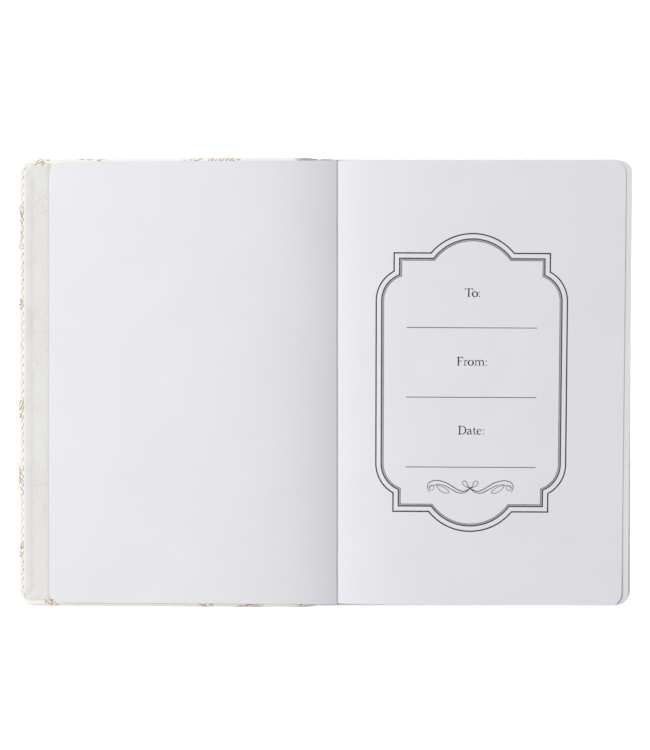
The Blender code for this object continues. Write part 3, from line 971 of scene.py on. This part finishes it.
# Twigs that run over the edge onto the turn-in: (edge, mm along it, mm round the rim and
# positive outside, angle in radians, length in mm).
FORE_TWIGS = [
    ("fore", 8.5, -0.7, 0.12, 18.5), ("fore", 48.0, -0.8, 0.08, 19.0),
    ("fore", 7.0, -0.6, 3.05, 9.0), ("fore", -28.0, -0.8, 3.02, 14.0),
]
SIDE_TWIGS = [
    ("head", 81.0, -0.7, 0.05, 14.0), ("head", 32.5, -0.6, -0.05, 13.0),
    ("tail", 42.0, -0.7, 0.05, 12.0), ("tail", 22.0, -0.6, 0.0, 8.5),
]
MORE_FORE_TWIGS = [
    ("fore", 50.5, 2.0, 1.15, 15.0), ("fore", 66.0, 1.5, -1.9, 15.0),
    ("fore", 13.0, 2.5, 1.2, 16.0), ("fore", 30.0, 1.8, -1.6, 9.0),
    ("fore", -12.0, 2.4, -1.2, 13.0), ("fore", -41.0, 2.0, 1.3, 14.0),
    ("fore", -63.0, 2.0, -1.3, 13.0),
]
MORE_SIDE_TWIGS = [
    ("head", 106.0, 2.4, -1.25, 13.0), ("head", 86.0, 2.4, -2.0, 13.0),
    ("head", 71.0, 2.4, -1.3, 13.0), ("head", 52.0, 2.4, -1.8, 13.0),
    ("head", 34.0, 2.4, -1.4, 13.0), ("tail", 102.0, 2.2, -1.5, 12.0),
    ("tail", 80.0, 2.2, -1.9, 12.0), ("tail", 43.0, 2.2, -1.3, 12.0),
    ("tail", 27.0, 2.2, -1.9, 12.0),
]


def rim_place(distance):
    """(inset, height) at a distance round the edge from the rim's middle, positive outside."""
    chain = RIM[RIM_MIDDLE::-1] if distance >= 0 else RIM[RIM_MIDDLE:]
    left = abs(distance)
    for (inset, z), (next_inset, next_z) in pairs(chain):
        gap = math.hypot(next_inset - inset, next_z - z)
        if left <= gap:
            t = left / gap
            return inset + (next_inset - inset) * t, z + (next_z - z) * t
        left -= gap
    return chain[-1][0] + (left if distance >= 0 else 0.0), chain[-1][1]


def edge_point(skin, edge, along, inset, z):
    """A point near an edge of the cover, from millimetres."""
    if edge == "fore":
        return skin.point(skin.end - inset * MM, along * MM, z * MM)
    y = (COVER_HALF - inset * MM) * (1 if edge == "head" else -1)
    return skin.point(along * MM, y, z * MM)


def sprig(dice, length):
    """(points, closed) lines of a twig about its root: a stem and pointed leaves, in mm."""
    bend = dice.uniform(-0.35, 0.35)
    stem = [(length * i / 9, length * bend * math.sin(2.6 * (i / 9)) * 0.5) for i in range(10)]
    lines = [(stem, False)]
    count = dice.choice((3, 4, 5))
    for k in range(count * 2 + 1):
        tip = k == count * 2
        i = 8 if tip else min(8, int((0.22 + 0.68 * (k // 2 + 0.5 * (k % 2)) / count) * 9))
        root = stem[-1] if tip else stem[i]
        angle = math.atan2(stem[i + 1][1] - stem[i][1], stem[i + 1][0] - stem[i][0])
        if not tip:
            angle += math.radians(46) * (1 if k % 2 else -1)
        size = length * dice.uniform(0.22, 0.30)
        fat = size * dice.uniform(0.16, 0.22)
        turns = [2 * math.pi * j / 12 for j in range(12)]
        leaf = [
            (size * (0.5 - 0.5 * math.cos(t)), fat * math.sin(t) * (1.0 - 0.35 * math.cos(t)))
            for t in turns
        ]
        lines.append((turned(leaf, *root, angle), True))
    return lines


def scatter_twigs(mesh, skin, dice):
    """Twigs in loose rows over the outer face."""
    x_low = (skin.panel_at + 7 * MM) / MM
    x_high = skin.end / MM - 9.0
    for row in range(7):
        for col in range(4):
            x = x_low + (x_high - x_low) * (col + 0.25 + 0.5 * (row % 2)) / 4 + dice.uniform(-3, 3)
            y = -66 + 132 * (row + 0.5) / 7 + dice.uniform(-3, 3)
            length = dice.uniform(13, 18)
            angle = dice.uniform(0, 2 * math.pi)
            x -= length / 2 * math.cos(angle)
            y -= length / 2 * math.sin(angle)
            for line, closed in sprig(dice, length):
                spots = turned(line, x, y, angle)
                if any(not (x_low - 4 < a < x_high + 5 and abs(b) < 79.0) for a, b in spots):
                    continue
                points = [skin.point(a * MM, b * MM, 0.0) for a, b in spots]
                normals = [skin.inward(a * MM) * -1 for a, b in spots]
                ribbon(
                    mesh, points, normals, 0.36 * MM, lift=0.020 * MM, sink=0.006 * MM,
                    closed=closed,
                )


def edge_twig(mesh, skin, dice, edge, along, distance, angle, length):
    """A twig that follows the leather round the rim."""
    tangent = Vector((0.0, 1.0, 0.0))
    if edge != "fore":
        tangent = skin.point(skin.end - 1 * MM, 0.0, 0.0) - skin.point(skin.end, 0.0, 0.0)
        tangent.normalize()
    for line, closed in sprig(dice, length):
        points, normals = [], []
        for a, b in split_line(turned(line, along, distance, angle), 0.5, closed):
            b = max(b, -4.2)
            point = edge_point(skin, edge, a, *rim_place(b))
            across = edge_point(skin, edge, a, *rim_place(b + 0.05)) - point
            normal = tangent.cross(across).normalized()
            core = edge_point(skin, edge, a, 3, 1.35)
            if normal.dot(point - core) < 0:
                normal.negate()
            points.append(point)
            normals.append(normal)
        ribbon(
            mesh, points, normals, 0.44 * MM, lift=0.026 * MM, sink=0.008 * MM, closed=closed
        )


def make_ornament(skin, seed, twigs):
    dice = random.Random(seed)
    mesh = bmesh.new()
    scatter_twigs(mesh, skin, dice)
    for twig in twigs:
        edge_twig(mesh, skin, dice, *twig)
    obj = add_piece(skin.name + "_ornament", mesh, TAN_INK, 25.0)
    fit(obj, "cream_leather", skin.name)


def make_spine_ornament():
    dice = random.Random(5)
    mesh = bmesh.new()
    outward = Vector((-math.cos(LEAN), 0.0, -math.sin(LEAN)))
    for k in range(7):
        middle = -66 + 132 * (k + 0.5) / 7
        for line, closed in sprig(dice, 9.0):
            spots = turned(line, 0.0, middle - 4.5, math.pi / 2)
            points = [spine_point(SPINE_OUT, b * MM, SPINE_LENGTH / 2 + a * MM) for a, b in spots]
            ribbon(
                mesh, points, [outward] * len(points), 0.30 * MM, lift=0.016 * MM,
                sink=0.012 * MM, closed=closed,
            )
    fit(add_piece("spine_ornament", mesh, TAN_INK, 25.0), "cream_leather", "spine")


make_ornament(FRONT, 21, FORE_TWIGS + SIDE_TWIGS + MORE_FORE_TWIGS + MORE_SIDE_TWIGS)
# The back cover's head and tail edges are plain; only its fore edge carries twigs.
make_ornament(BACK, 22, FORE_TWIGS + MORE_FORE_TWIGS)
make_spine_ornament()

# ---- Pages ---------------------------------------------------------------------------------------
BLOCK_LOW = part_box("back_flyleaf")[0].z
BLOCK_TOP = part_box("presentation_leaf")[1].z
FOLD = 1.0 * MM  # width of the strip of a leaf next to its fold, made as a piece of its own
FLYLEAF_THICK = 0.16 * MM
FIRST_SKEW = 0.0100  # the top section runs further out of square than the rest


def droop(x, y):
    """Leaves never lie dead flat: they sag a little in slow waves away from the gutter."""
    waves = 1.5 + math.sin(y / (31 * MM) + 0.6) + 0.5 * math.sin(x / (23 * MM) + y / (40 * MM))
    return 0.05 * MM * ease(x / (108 * MM)) * waves


def corner_sag(x, y, amount):
    """The leaves below the top one fall away at their tail corner."""
    off = math.hypot(x - GUTTER_X - 108 * MM, y + PAGE_HALF)
    return amount * max(0.0, 1.0 - off / (34 * MM)) ** 1.5


def block_share(z):
    return (z - BLOCK_LOW) / (BLOCK_TOP - BLOCK_LOW)


def block_point(x, y, z, skew=0.0055):
    """A point of the right-hand pages; they sink towards the gutter and run out of square."""
    reach = max(0.0, x - GUTTER_X)
    nip = math.exp(-reach / (9 * MM)) * (0.4 * MM if y < 0 else 0.15 * MM) / PAGE_HALF
    dip = 1.1 * MM * math.exp(-reach / (15.0 * MM))
    return Vector((
        x + skew * y * ease(reach / (46 * MM)),
        y * (1 - nip),
        z - (dip + droop(reach, y)) * block_share(z),
    ))


def presentation_warp(x, y, z):
    place = block_point(x, y, z, 0.0112)
    place.y -= 0.005 * max(0.0, x - GUTTER_X - 2 * MM)
    return place


def second_warp(x, y, z):
    place = block_point(x, y, z, FIRST_SKEW)
    place.z -= corner_sag(x, y, 0.22 * MM)
    return place


def left_warp(x, y, z):
    """The left-hand leaf dips at the gutter and waves towards its fore edge."""
    far = min(1.0, max(0.0, (x - 20 * MM) / (88 * MM)))
    waves = 1.5 + math.sin(y / (27 * MM)) + 0.5 * math.sin(x / (19 * MM) - y / (35 * MM))
    dip = 0.85 * MM * math.exp(-x / (11.0 * MM))
    return left_leaf_point(x, y, z - dip - 0.04 * MM * far * waves)


def page_arms(x0, x_end):
    near = x0 + 24 * MM
    return spread(x0, near, 1.5 * MM) + spread(near, x_end - PAGE_RADIUS, 4.0 * MM)


def make_leaf(name, x0, x_end, low, high, rows, warp, material):
    """A single leaf: flat faces and a crisp but not razor-sharp edge."""
    lower = [
        (5.2 * MM, low), (2.5 * MM, low), (0.3 * MM, low), (0.02 * MM, low + 0.01 * MM),
        (0.0, low + 0.03 * MM),
    ]
    upper = [
        (0.0, high - 0.03 * MM), (0.02 * MM, high - 0.01 * MM), (0.3 * MM, high),
        (2.5 * MM, high), (5.2 * MM, high),
    ]
    sheet = Sheet(x0, x_end, PAGE_HALF, PAGE_RADIUS, page_arms(x0, x_end), rows)
    return sheet.shell(name, lower + upper, warp, material)


def turning_leaf(name, node, warp, x_end, rows, material):
    """A leaf that turns on its own: the sheet, and the narrow strip of it in the fold."""
    low, high = (corner.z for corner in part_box(node))
    x0 = GUTTER_X + FOLD
    sheet = make_leaf(name + "_page", x0, x_end, low, high, rows, warp, material)
    fit(sheet, "book_paper", node, node)
    across = stations(GUTTER_X + 0.02 * MM, x0, 8)
    strip = slab(name + "_fold", warp, across, PAGE_HALF, rows, (low, high), material)
    fit(strip, "book_paper", node)


def section_rings(low, high, leaves, dice):
    """The cut edges of a section: each leaf a shallow ridge with a groove to the next."""
    rings = [(5.2 * MM, low), (1.2 * MM, low)]
    thick = (high - low) / leaves
    for k in range(leaves):
        inset = dice.uniform(0.0, 0.10) * MM
        rings += [
            (inset + 0.075 * MM, low + thick * (k + 0.04)),
            (inset, low + thick * (k + 0.32)),
            (inset, low + thick * (k + 0.72)),
        ]
    return rings + [(0.08 * MM, high - 0.004 * MM), (1.2 * MM, high), (5.2 * MM, high)]


def make_section(number, dice):
    node = "section_%02d" % number
    lowest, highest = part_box(node)
    low, high, x0, x_end = lowest.z, highest.z, lowest.x, highest.x
    first = number == 1
    if first:
        x0 = GUTTER_X + 0.12 * MM
        x_end += 0.95 * MM
    middle = (low + high) / 2
    rounding = 0.55 * MM

    def warp(x, y, z):
        # The folds at the spine are rounded.
        if x < x0 + rounding:
            t = (x0 + rounding - x) / rounding
            z = middle + (z - middle) * (0.25 + 0.75 * math.sqrt(max(0.0, 1 - t * t)))
        place = block_point(x, y, z, FIRST_SKEW if first else 0.0055)
        place.z -= corner_sag(x, y, 0.26 * MM) * block_share(z)
        return place

    arms = spread(x0, x0 + 0.6 * MM, 0.12 * MM) + page_arms(x0 + 0.6 * MM, x_end)
    x_end -= dice.uniform(0.0, 0.12) * MM
    rings = section_rings(low, high, 6 if first else 8, dice)
    sheet = Sheet(x0, x_end, PAGE_HALF, PAGE_RADIUS, arms, 24, 7)
    obj = sheet.shell(node + "_leaves", rings, warp, BLOCK_PAPER, 30.0)
    if first:
        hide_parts(node)
        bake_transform(obj)
    else:
        fit(obj, "book_paper", node, node)


def squash_left(obj):
    """Gives a left-hand piece a mesh of its own."""
    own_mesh(obj)


def make_back_flyleaf():
    low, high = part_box("back_flyleaf")
    obj = make_leaf(
        "back_flyleaf_sheet", low.x, high.x, low.z, high.z, 30, block_point, PAGE_PAPER
    )
    fit(obj, "flyleaf_paper", "section_12", "back_flyleaf")


def make_left_leaf():
    """The left-hand leaf, its strip in the fold, and the joint strip under it."""
    sheet = make_leaf(
        "flyleaf_sheet", FOLD, LEAF_END, -FLYLEAF_THICK, 0.0, 44, left_warp, LEFT_PAPER
    )
    fit(sheet, "flyleaf_paper", "front_flyleaf", "front_flyleaf")
    squash_left(sheet)

    levels = (-FLYLEAF_THICK, 0.0)
    across = stations(0.0, FOLD, 8)
    strip = slab("flyleaf_fold", left_warp, across, PAGE_HALF, 44, levels, LEFT_PAPER)
    start, end = left_leaf_point(0.05 * MM, 0, 0), left_leaf_point(FOLD, 0, 0)
    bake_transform(strip)

    levels = (-FLYLEAF_THICK - 0.18 * MM, -FLYLEAF_THICK - 0.05 * MM)
    across = stations(0.5 * MM, 12.3 * MM, 16)
    half = PAGE_HALF - 0.3 * MM
    hinge = slab("flyleaf_joint", left_warp, across, half, 44, levels, JOINT_PAPER)
    fit(hinge, "lining", "front_hinge_strip", "front_hinge_strip")
    squash_left(hinge)


turning_leaf(
    "presentation", "presentation_leaf", presentation_warp, GUTTER_X + LEAF_END - 1.22 * MM, 44,
    RIGHT_PAPER,
)
turning_leaf(
    "second", "second_leaf", second_warp, GUTTER_X + LEAF_END + 1.10 * MM, 40, PAGE_PAPER
)
section_dice = random.Random(3)
for number in range(1, 13):
    make_section(number, section_dice)
make_back_flyleaf()
make_left_leaf()

# ---- Printing on the presentation leaf, in millimetres about the centre of the form --------------
PRINT_X, PRINT_Y = 50.1 * MM, 0.22 * MM  # that centre, from the gutter and from mid-height


def on_page(x, y):
    return presentation_warp(GUTTER_X + PRINT_X + x * MM, PRINT_Y + y * MM, BLOCK_TOP)


def print_line(mesh, line, width, closed, step):
    """width is one number, or a list of widths spread along the line."""
    spots = split_line(line, step, closed)
    if not isinstance(width, list):
        width = [width]
    scale, last = len(width) - 1, max(1, len(spots) - 1)
    widths = [width[round(i * scale / last)] * MM for i in range(len(spots))]
    points = [on_page(x, y) for x, y in spots]
    normals = [Vector((0.0, 0.0, 1.0))] * len(spots)
    ribbon(mesh, points, normals, widths, lift=0.02 * MM, sink=0.004 * MM, closed=closed)


def printed(name, material, step, lines):
    """One piece of printing from (points, width, closed) lines."""
    mesh = bmesh.new()
    for line, width, closed in lines:
        print_line(mesh, line, width, closed, step)
    fit(add_piece(name, mesh, material, 25.0), "book_paper", "presentation_leaf")


def form_frame(inset):
    """The form's outline, moved in by inset: arched top and tail, square ears, bowed shoulders."""
    ear_x, ear_y = 28.85 - inset, 48.0 - inset
    arch_radius, arch_y = 19.9 - inset, 35.4
    bow_radius, bow_x, bow_y = 12.3 - inset, 23.05, 30.3
    chord = math.sqrt(arch_radius**2 - (ear_y - arch_y) ** 2)
    reach = math.asin(chord / arch_radius)
    turns = [reach * i / 16 for i in range(17)]
    quarter = [(arch_radius * math.sin(t), arch_y + arch_radius * math.cos(t)) for t in turns]
    quarter.append((ear_x, ear_y))
    rise = math.acos((ear_x - bow_x) / bow_radius)
    turns = [rise * (1 - i / 14) for i in range(15)]
    quarter += [(bow_x + bow_radius * math.cos(t), bow_y + bow_radius * math.sin(t)) for t in turns]
    right = quarter + [(x, -y) for x, y in reversed(quarter)]
    left = [(-x, y) for x, y in reversed(right)]
    return right + left[1:-1]


# Left half of the flourish: (points, widths along them, closed).
FLOURISH = [
    ([(-15.3, -2.7), (-15.9, -1.8), (-16.1, -0.4), (-15.3, 0.9), (-12.8, 1.6), (-9.4, 0.9),
      (-6.7, -0.6), (-4.5, -1.9), (-2.5, -2.4), (-0.9, -1.8), (0.1, -1.1), (0.9, -0.5),
      (1.15, 0.5), (1.9, 1.4), (2.8, 1.2), (2.8, 0.4), (2.0, -0.5), (0.9, -1.0), (0.0, -1.1)],
     [0.2, 0.26, 0.32, 0.34, 0.34, 0.30, 0.26, 0.24, 0.22, 0.2], False),
    ([(-12.6, 0.2), (-9.9, -0.2), (-7.2, -1.6), (-4.6, -2.9), (-2.4, -3.0), (-0.9, -2.2),
      (0.2, -1.2)],
     [0.2, 0.28, 0.32, 0.26, 0.2], False),
    ([(-12.8, -0.3), (-11.9, -1.5), (-10.8, -2.5), (-9.2, -3.1), (-8.0, -2.9), (-8.5, -2.0),
      (-10.2, -0.8), (-11.8, -0.3)],
     [0.22], True),
    ([(-15.7, -1.2), (-15.0, -0.3), (-13.9, -0.4), (-13.6, -1.3), (-14.3, -2.0), (-15.2, -1.7),
      (-15.1, -0.9), (-14.0, -0.2), (-12.6, 0.0)],
     [0.2], False),
]


def flourish_lines():
    lines = []
    for line, widths, closed in FLOURISH:
        for mirror in (1, -1):
            path = [(mirror * x * 0.99, y - 38.05) for x, y in smooth_line(line, closed, 7)]
            lines.append((path, [w * 1.2 for w in widths], closed))
    return lines


# Roman letters on a cap height of 1: advance, then strokes of (points, width or widths).
THICK, THIN, SERIF = 0.19, 0.10, 0.05
ROUND = [0.07, 0.12, 0.16, 0.12, 0.07, 0.12, 0.16, 0.12, 0.07]
ARCH = [0.05, 0.06, 0.10, 0.12, 0.12, 0.12]
LETTERS = {
    "T": (0.70, [([(0.4, 0.0), (0.4, 1.0)], THICK), ([(0.04, 0.965), (0.76, 0.965)], 0.07),
                 ([(0.05, 0.98), (0.02, 0.78)], THIN), ([(0.75, 0.98), (0.78, 0.78)], THIN),
                 ([(0.24, 0.025), (0.56, 0.025)], SERIF)]),
    "F": (0.66, [([(0.2, 0.0), (0.2, 1.0)], THICK), ([(0.04, 0.975), (0.62, 0.975)], THIN),
                 ([(0.6, 1.0), (0.63, 0.78)], THIN), ([(0.2, 0.52), (0.5, 0.52)], THIN),
                 ([(0.5, 0.62), (0.5, 0.42)], 0.045), ([(0.05, 0.025), (0.38, 0.025)], SERIF)]),
    "D": (0.86, [([(0.2, 0.0), (0.2, 1.0)], THICK),
                 (arc(0.34, 0.5, 0.44, 0.475, 90, -90, 16),
                  [0.06, 0.08, 0.12, 0.15, 0.12, 0.08, 0.06]),
                 ([(0.05, 0.975), (0.36, 0.975)], THIN), ([(0.05, 0.025), (0.36, 0.025)], THIN)]),
    "o": (0.62, [(arc(0.3, 0.32, 0.24, 0.30, 90, 450, 20), ROUND)]),
    "r": (0.44, [([(0.17, 0.0), (0.17, 0.62)], 0.12), ([(0.03, 0.025), (0.33, 0.025)], SERIF),
                 ([(0.03, 0.58), (0.17, 0.63)], SERIF),
                 ([(0.18, 0.42), (0.24, 0.54), (0.32, 0.61), (0.42, 0.6)], [0.05, 0.07, 0.12])]),
    "m": (1.06, [([(0.17, 0.0), (0.17, 0.62)], 0.12), ([(0.03, 0.58), (0.17, 0.63)], SERIF),
                 ([(0.03, 0.025), (0.31, 0.025)], SERIF),
                 ([(0.18, 0.44), (0.26, 0.56), (0.37, 0.62), (0.48, 0.58), (0.53, 0.45),
                   (0.53, 0.0)], ARCH),
                 ([(0.42, 0.025), (0.65, 0.025)], SERIF),
                 ([(0.54, 0.44), (0.62, 0.56), (0.73, 0.62), (0.84, 0.58), (0.89, 0.45),
                   (0.89, 0.0)], ARCH),
                 ([(0.77, 0.025), (1.03, 0.025)], SERIF)]),
    "a": (0.56, [([(0.09, 0.5), (0.17, 0.6), (0.29, 0.63), (0.38, 0.56), (0.41, 0.42),
                   (0.41, 0.14), (0.46, 0.03), (0.54, 0.06)],
                  [0.12, 0.07, 0.07, 0.11, 0.12, 0.12, 0.09, 0.05]),
                 ([(0.41, 0.38), (0.22, 0.33), (0.1, 0.24), (0.08, 0.12), (0.17, 0.03),
                   (0.3, 0.06), (0.41, 0.16)], [0.05, 0.06, 0.11, 0.13, 0.09, 0.06, 0.05])]),
    "t": (0.40, [([(0.17, 0.82), (0.17, 0.16), (0.22, 0.04), (0.31, 0.03), (0.38, 0.08)],
                  [0.09, 0.12, 0.11, 0.08, 0.05]),
                 ([(0.03, 0.61), (0.36, 0.61)], 0.055)]),
    "e": (0.56, [([(0.09, 0.36), (0.48, 0.38)], 0.05),
                 (arc(0.28, 0.32, 0.21, 0.30, 12, 320, 18),
                  [0.05, 0.07, 0.06, 0.11, 0.14, 0.12, 0.08, 0.05])]),
    ":": (0.22, [([(0.11, 0.005), (0.11, 0.135)], 0.13), ([(0.11, 0.48), (0.11, 0.61)], 0.13)]),
}
CAP_HEIGHT = 3.2
LETTER_STRETCH = 1.2


def word_lines(text, base):
    """The strokes of a word, centred on the form, standing on base."""
    pen = 0.1 - sum(LETTERS[c][0] for c in text) * CAP_HEIGHT * LETTER_STRETCH / 2
    lines = []
    for c in text:
        advance, strokes = LETTERS[c]
        for points, width in strokes:
            line = [(pen + x * CAP_HEIGHT * LETTER_STRETCH, base + y * CAP_HEIGHT) for x, y in points]
            if isinstance(width, list):
                width = [w * CAP_HEIGHT * 1.3 for w in width]
            else:
                width *= CAP_HEIGHT
            lines.append((line, width, False))
        pen += advance * CAP_HEIGHT * LETTER_STRETCH
    return lines


dark_frames = ((0.0, 0.60), (1.98, 0.52), (2.74, 0.22))  # inset, line width
frame_lines = [(form_frame(inset), width, True) for inset, width in dark_frames]
printed("form_frame_dark", FRAME_INK, 1.2, frame_lines)
printed("form_frame_light", LIGHT_INK, 1.2, [(form_frame(2.42), 0.50, True)])
rules = [([(-24.2, y), (24.2, y)], 0.34, False) for y in (20.3, -5.55, -31.5)]
printed("form_rules", RULE_INK, 2.0, rules)
printed("form_flourish", RULE_INK, 0.9, flourish_lines())
labels = word_lines("To:", 31.75) + word_lines("From:", 6.25) + word_lines("Date:", -19.35)
printed("form_labels", LABEL_INK, 0.5, labels)

# ---- Spine of the block --------------------------------------------------------------------------
for node in ("front_cover_board", "back_cover_board", "spine_strip"):
    data = frame["nodes"][node].data
    data.materials.clear()
    data.materials.append(GREY_BOARD)

BLOCK_OUT = Vector((-math.cos(BLOCK_LEAN), 0.0, -math.sin(BLOCK_LEAN)))


def block_spine_point(x, y, rise):
    """A point of the block's spine, which sinks with the pages it holds."""
    return block_plane(x, y, -0.4 * MM + (rise + 0.4 * MM) * 0.912)


def make_liner():
    """Kraft paper over the folds, its long edges a little uneven where it was cut."""

    def place(t, y, x):
        rise = -0.4 * MM + 11.73 * MM * t
        if t in (0.0, 1.0):
            rise += 0.08 * MM * math.sin(y / (7 * MM) + 2 * t) * (1 if t else -1)
        bulge = 0.02 * MM * math.sin(math.pi * t) * math.sin(y / (12 * MM))
        return block_spine_point(x - bulge, y, rise)

    levels = (-0.82 * MM, -0.67 * MM)
    obj = slab("spine_liner_paper", place, stations(0.0, 1.0, 6), 80.5 * MM, 60, levels, KRAFT)
    fit(obj, "kraft", "block_spine", "spine_liner")


def make_gauze():
    """Open-weave gauze: the yarns pass over and under each other."""
    mesh = bmesh.new()
    middle, swing = -0.545 * MM, 0.036 * MM
    cross_ys = [y * MM for y in stations(-75.6, 75.6, 115)]
    long_rises = [rise * MM for rise in stations(-0.2, 11.0, 8)]
    for i, rise in enumerate(long_rises):
        points = []
        for j, y in enumerate(cross_ys):
            x = middle + swing * (1 if (i + j) % 2 else -1)
            points.append(block_spine_point(x, y, rise + 0.03 * MM * math.sin(j * 1.7 + i)))
        tube(mesh, points, (0.075 * MM, swing), BLOCK_OUT, 5)
    for j, y in enumerate(cross_ys):
        points = [block_spine_point(middle, y, -0.4 * MM)]
        for i, rise in enumerate(long_rises):
            x = middle + swing * (-1 if (i + j) % 2 else 1)
            points.append(block_spine_point(x, y + 0.03 * MM * math.sin(i * 2.1 + j), rise))
        points.append(block_spine_point(middle, y, 11.3 * MM))
        tube(mesh, points, (0.08 * MM, swing), BLOCK_OUT, 5)
    obj = add_piece("spine_gauze_weave", mesh, GAUZE, 60.0)
    fit(obj, "gauze", "block_spine", "spine_gauze")


def make_sewing():
    """Short runs of thread at every section, linked by chain stitches."""
    mesh = bmesh.new()
    holes = [(-66 + 22 * i) * MM for i in range(7)]
    for level in range(12):
        rise = (0.25 + 1.0 * (11 - level)) * MM
        for k in range(level % 2, len(holes) - 1, 2):
            points = [
                block_spine_point(
                    (-0.32 + (0.12 if i in (0, 6) else 0.0)) * MM,
                    holes[k] + 5.0 * MM * i / 6,
                    rise + 0.06 * MM * math.sin(i),
                )
                for i in range(7)
            ]
            tube(mesh, points, (0.11 * MM, 0.11 * MM), BLOCK_OUT, 6)
        if level == 11:
            continue
        for y in holes:
            for side in (-1, 1):
                points = [
                    block_spine_point(
                        (-0.34 + 0.06 * math.cos(math.pi * i / 4)) * MM,
                        y - 0.9 * MM + side * (0.32 * MM) * math.sin(math.pi * i / 5 + 0.3),
                        rise - 1.05 * MM * i / 5,
                    )
                    for i in range(6)
                ]
                tube(mesh, points, (0.10 * MM, 0.09 * MM), BLOCK_OUT, 6)
    obj = add_piece("sewing_thread_stitches", mesh, SEWING_THREAD, 60.0)
    fit(obj, "cream_thread", "block_spine", "sewing_thread")


def make_band(name, y):
    """A cord core with silk wound round it turn by turn."""
    mesh = bmesh.new()
    core_x, radius = -0.60 * MM, 0.27 * MM
    steps = 22 * 12  # turns, and points in each
    points = []
    for i in range(steps + 1):
        angle = 2 * math.pi * i / 12
        x, winding_y = core_x + radius * math.cos(angle), y + radius * math.sin(angle)
        points.append(block_spine_point(x, winding_y, (-0.35 + 11.6 * i / steps) * MM))
    tube(mesh, points, (0.10 * MM, 0.10 * MM), BLOCK_OUT, 6)
    core = [block_spine_point(core_x, y, (-0.38 + 11.66 * k / 6) * MM) for k in range(7)]
    tube(mesh, core, (0.28 * MM, 0.28 * MM), Vector((0.0, 1.0, 0.0)), 12)
    fit(add_piece(name + "_silk", mesh, BAND_SILK, 60.0), "band", "block_spine", name)


make_liner()
make_gauze()
make_sewing()
make_band("head_band", 82.6 * MM)
make_band("tail_band", -82.6 * MM)


# ---- Stage, light and camera ---------------------------------------------------------------------
def make_floor():
    mesh = bmesh.new()
    bmesh.ops.create_grid(mesh, x_segments=8, y_segments=8, size=2.5)
    floor = add_piece("studio_floor", mesh, floor_material())
    floor.location.z = -0.00025


def make_world():
    scene = bpy.context.scene
    if scene.world is None:
        scene.world = bpy.data.worlds.new("studio")
    scene.world.use_nodes = True
    sky = scene.world.node_tree.nodes["Background"]
    sky.inputs["Color"].default_value = (1.0, 1.0, 1.0, 1.0)
    sky.inputs["Strength"].default_value = 0.235


def area(name, place, size, power):
    """A rectangular light aimed at the origin."""
    light = bpy.data.lights.new(name, "AREA")
    light.shape = "RECTANGLE"
    light.size, light.size_y = size
    light.energy = power
    obj = bpy.data.objects.new(name, light)
    obj.location = place
    obj.rotation_euler = (-Vector(place)).to_track_quat("-Z", "Y").to_euler()
    bpy.context.scene.collection.objects.link(obj)


def make_camera():
    """Looks straight down on the open book."""
    camera = bpy.data.cameras.new("camera")
    camera.sensor_width = 36.0
    camera.lens = 178.9
    view = bpy.data.objects.new("camera", camera)
    view.location = (GUTTER_X - 4.271 * MM, 2.74 * MM, 1.4)
    bpy.context.scene.collection.objects.link(view)
    bpy.context.scene.camera = view
    bpy.context.scene.view_settings.view_transform = "Standard"


make_floor()
make_world()
area("key", place=(-1.75, 0.35, 1.15), size=(1.2, 1.2), power=57.0)
area("top_fill", place=(0.3, -0.2, 2.4), size=(1.6, 1.6), power=5.0)
area("side_fill", place=(2.0, -0.3, 0.55), size=(1.4, 0.8), power=10.0)
make_camera()
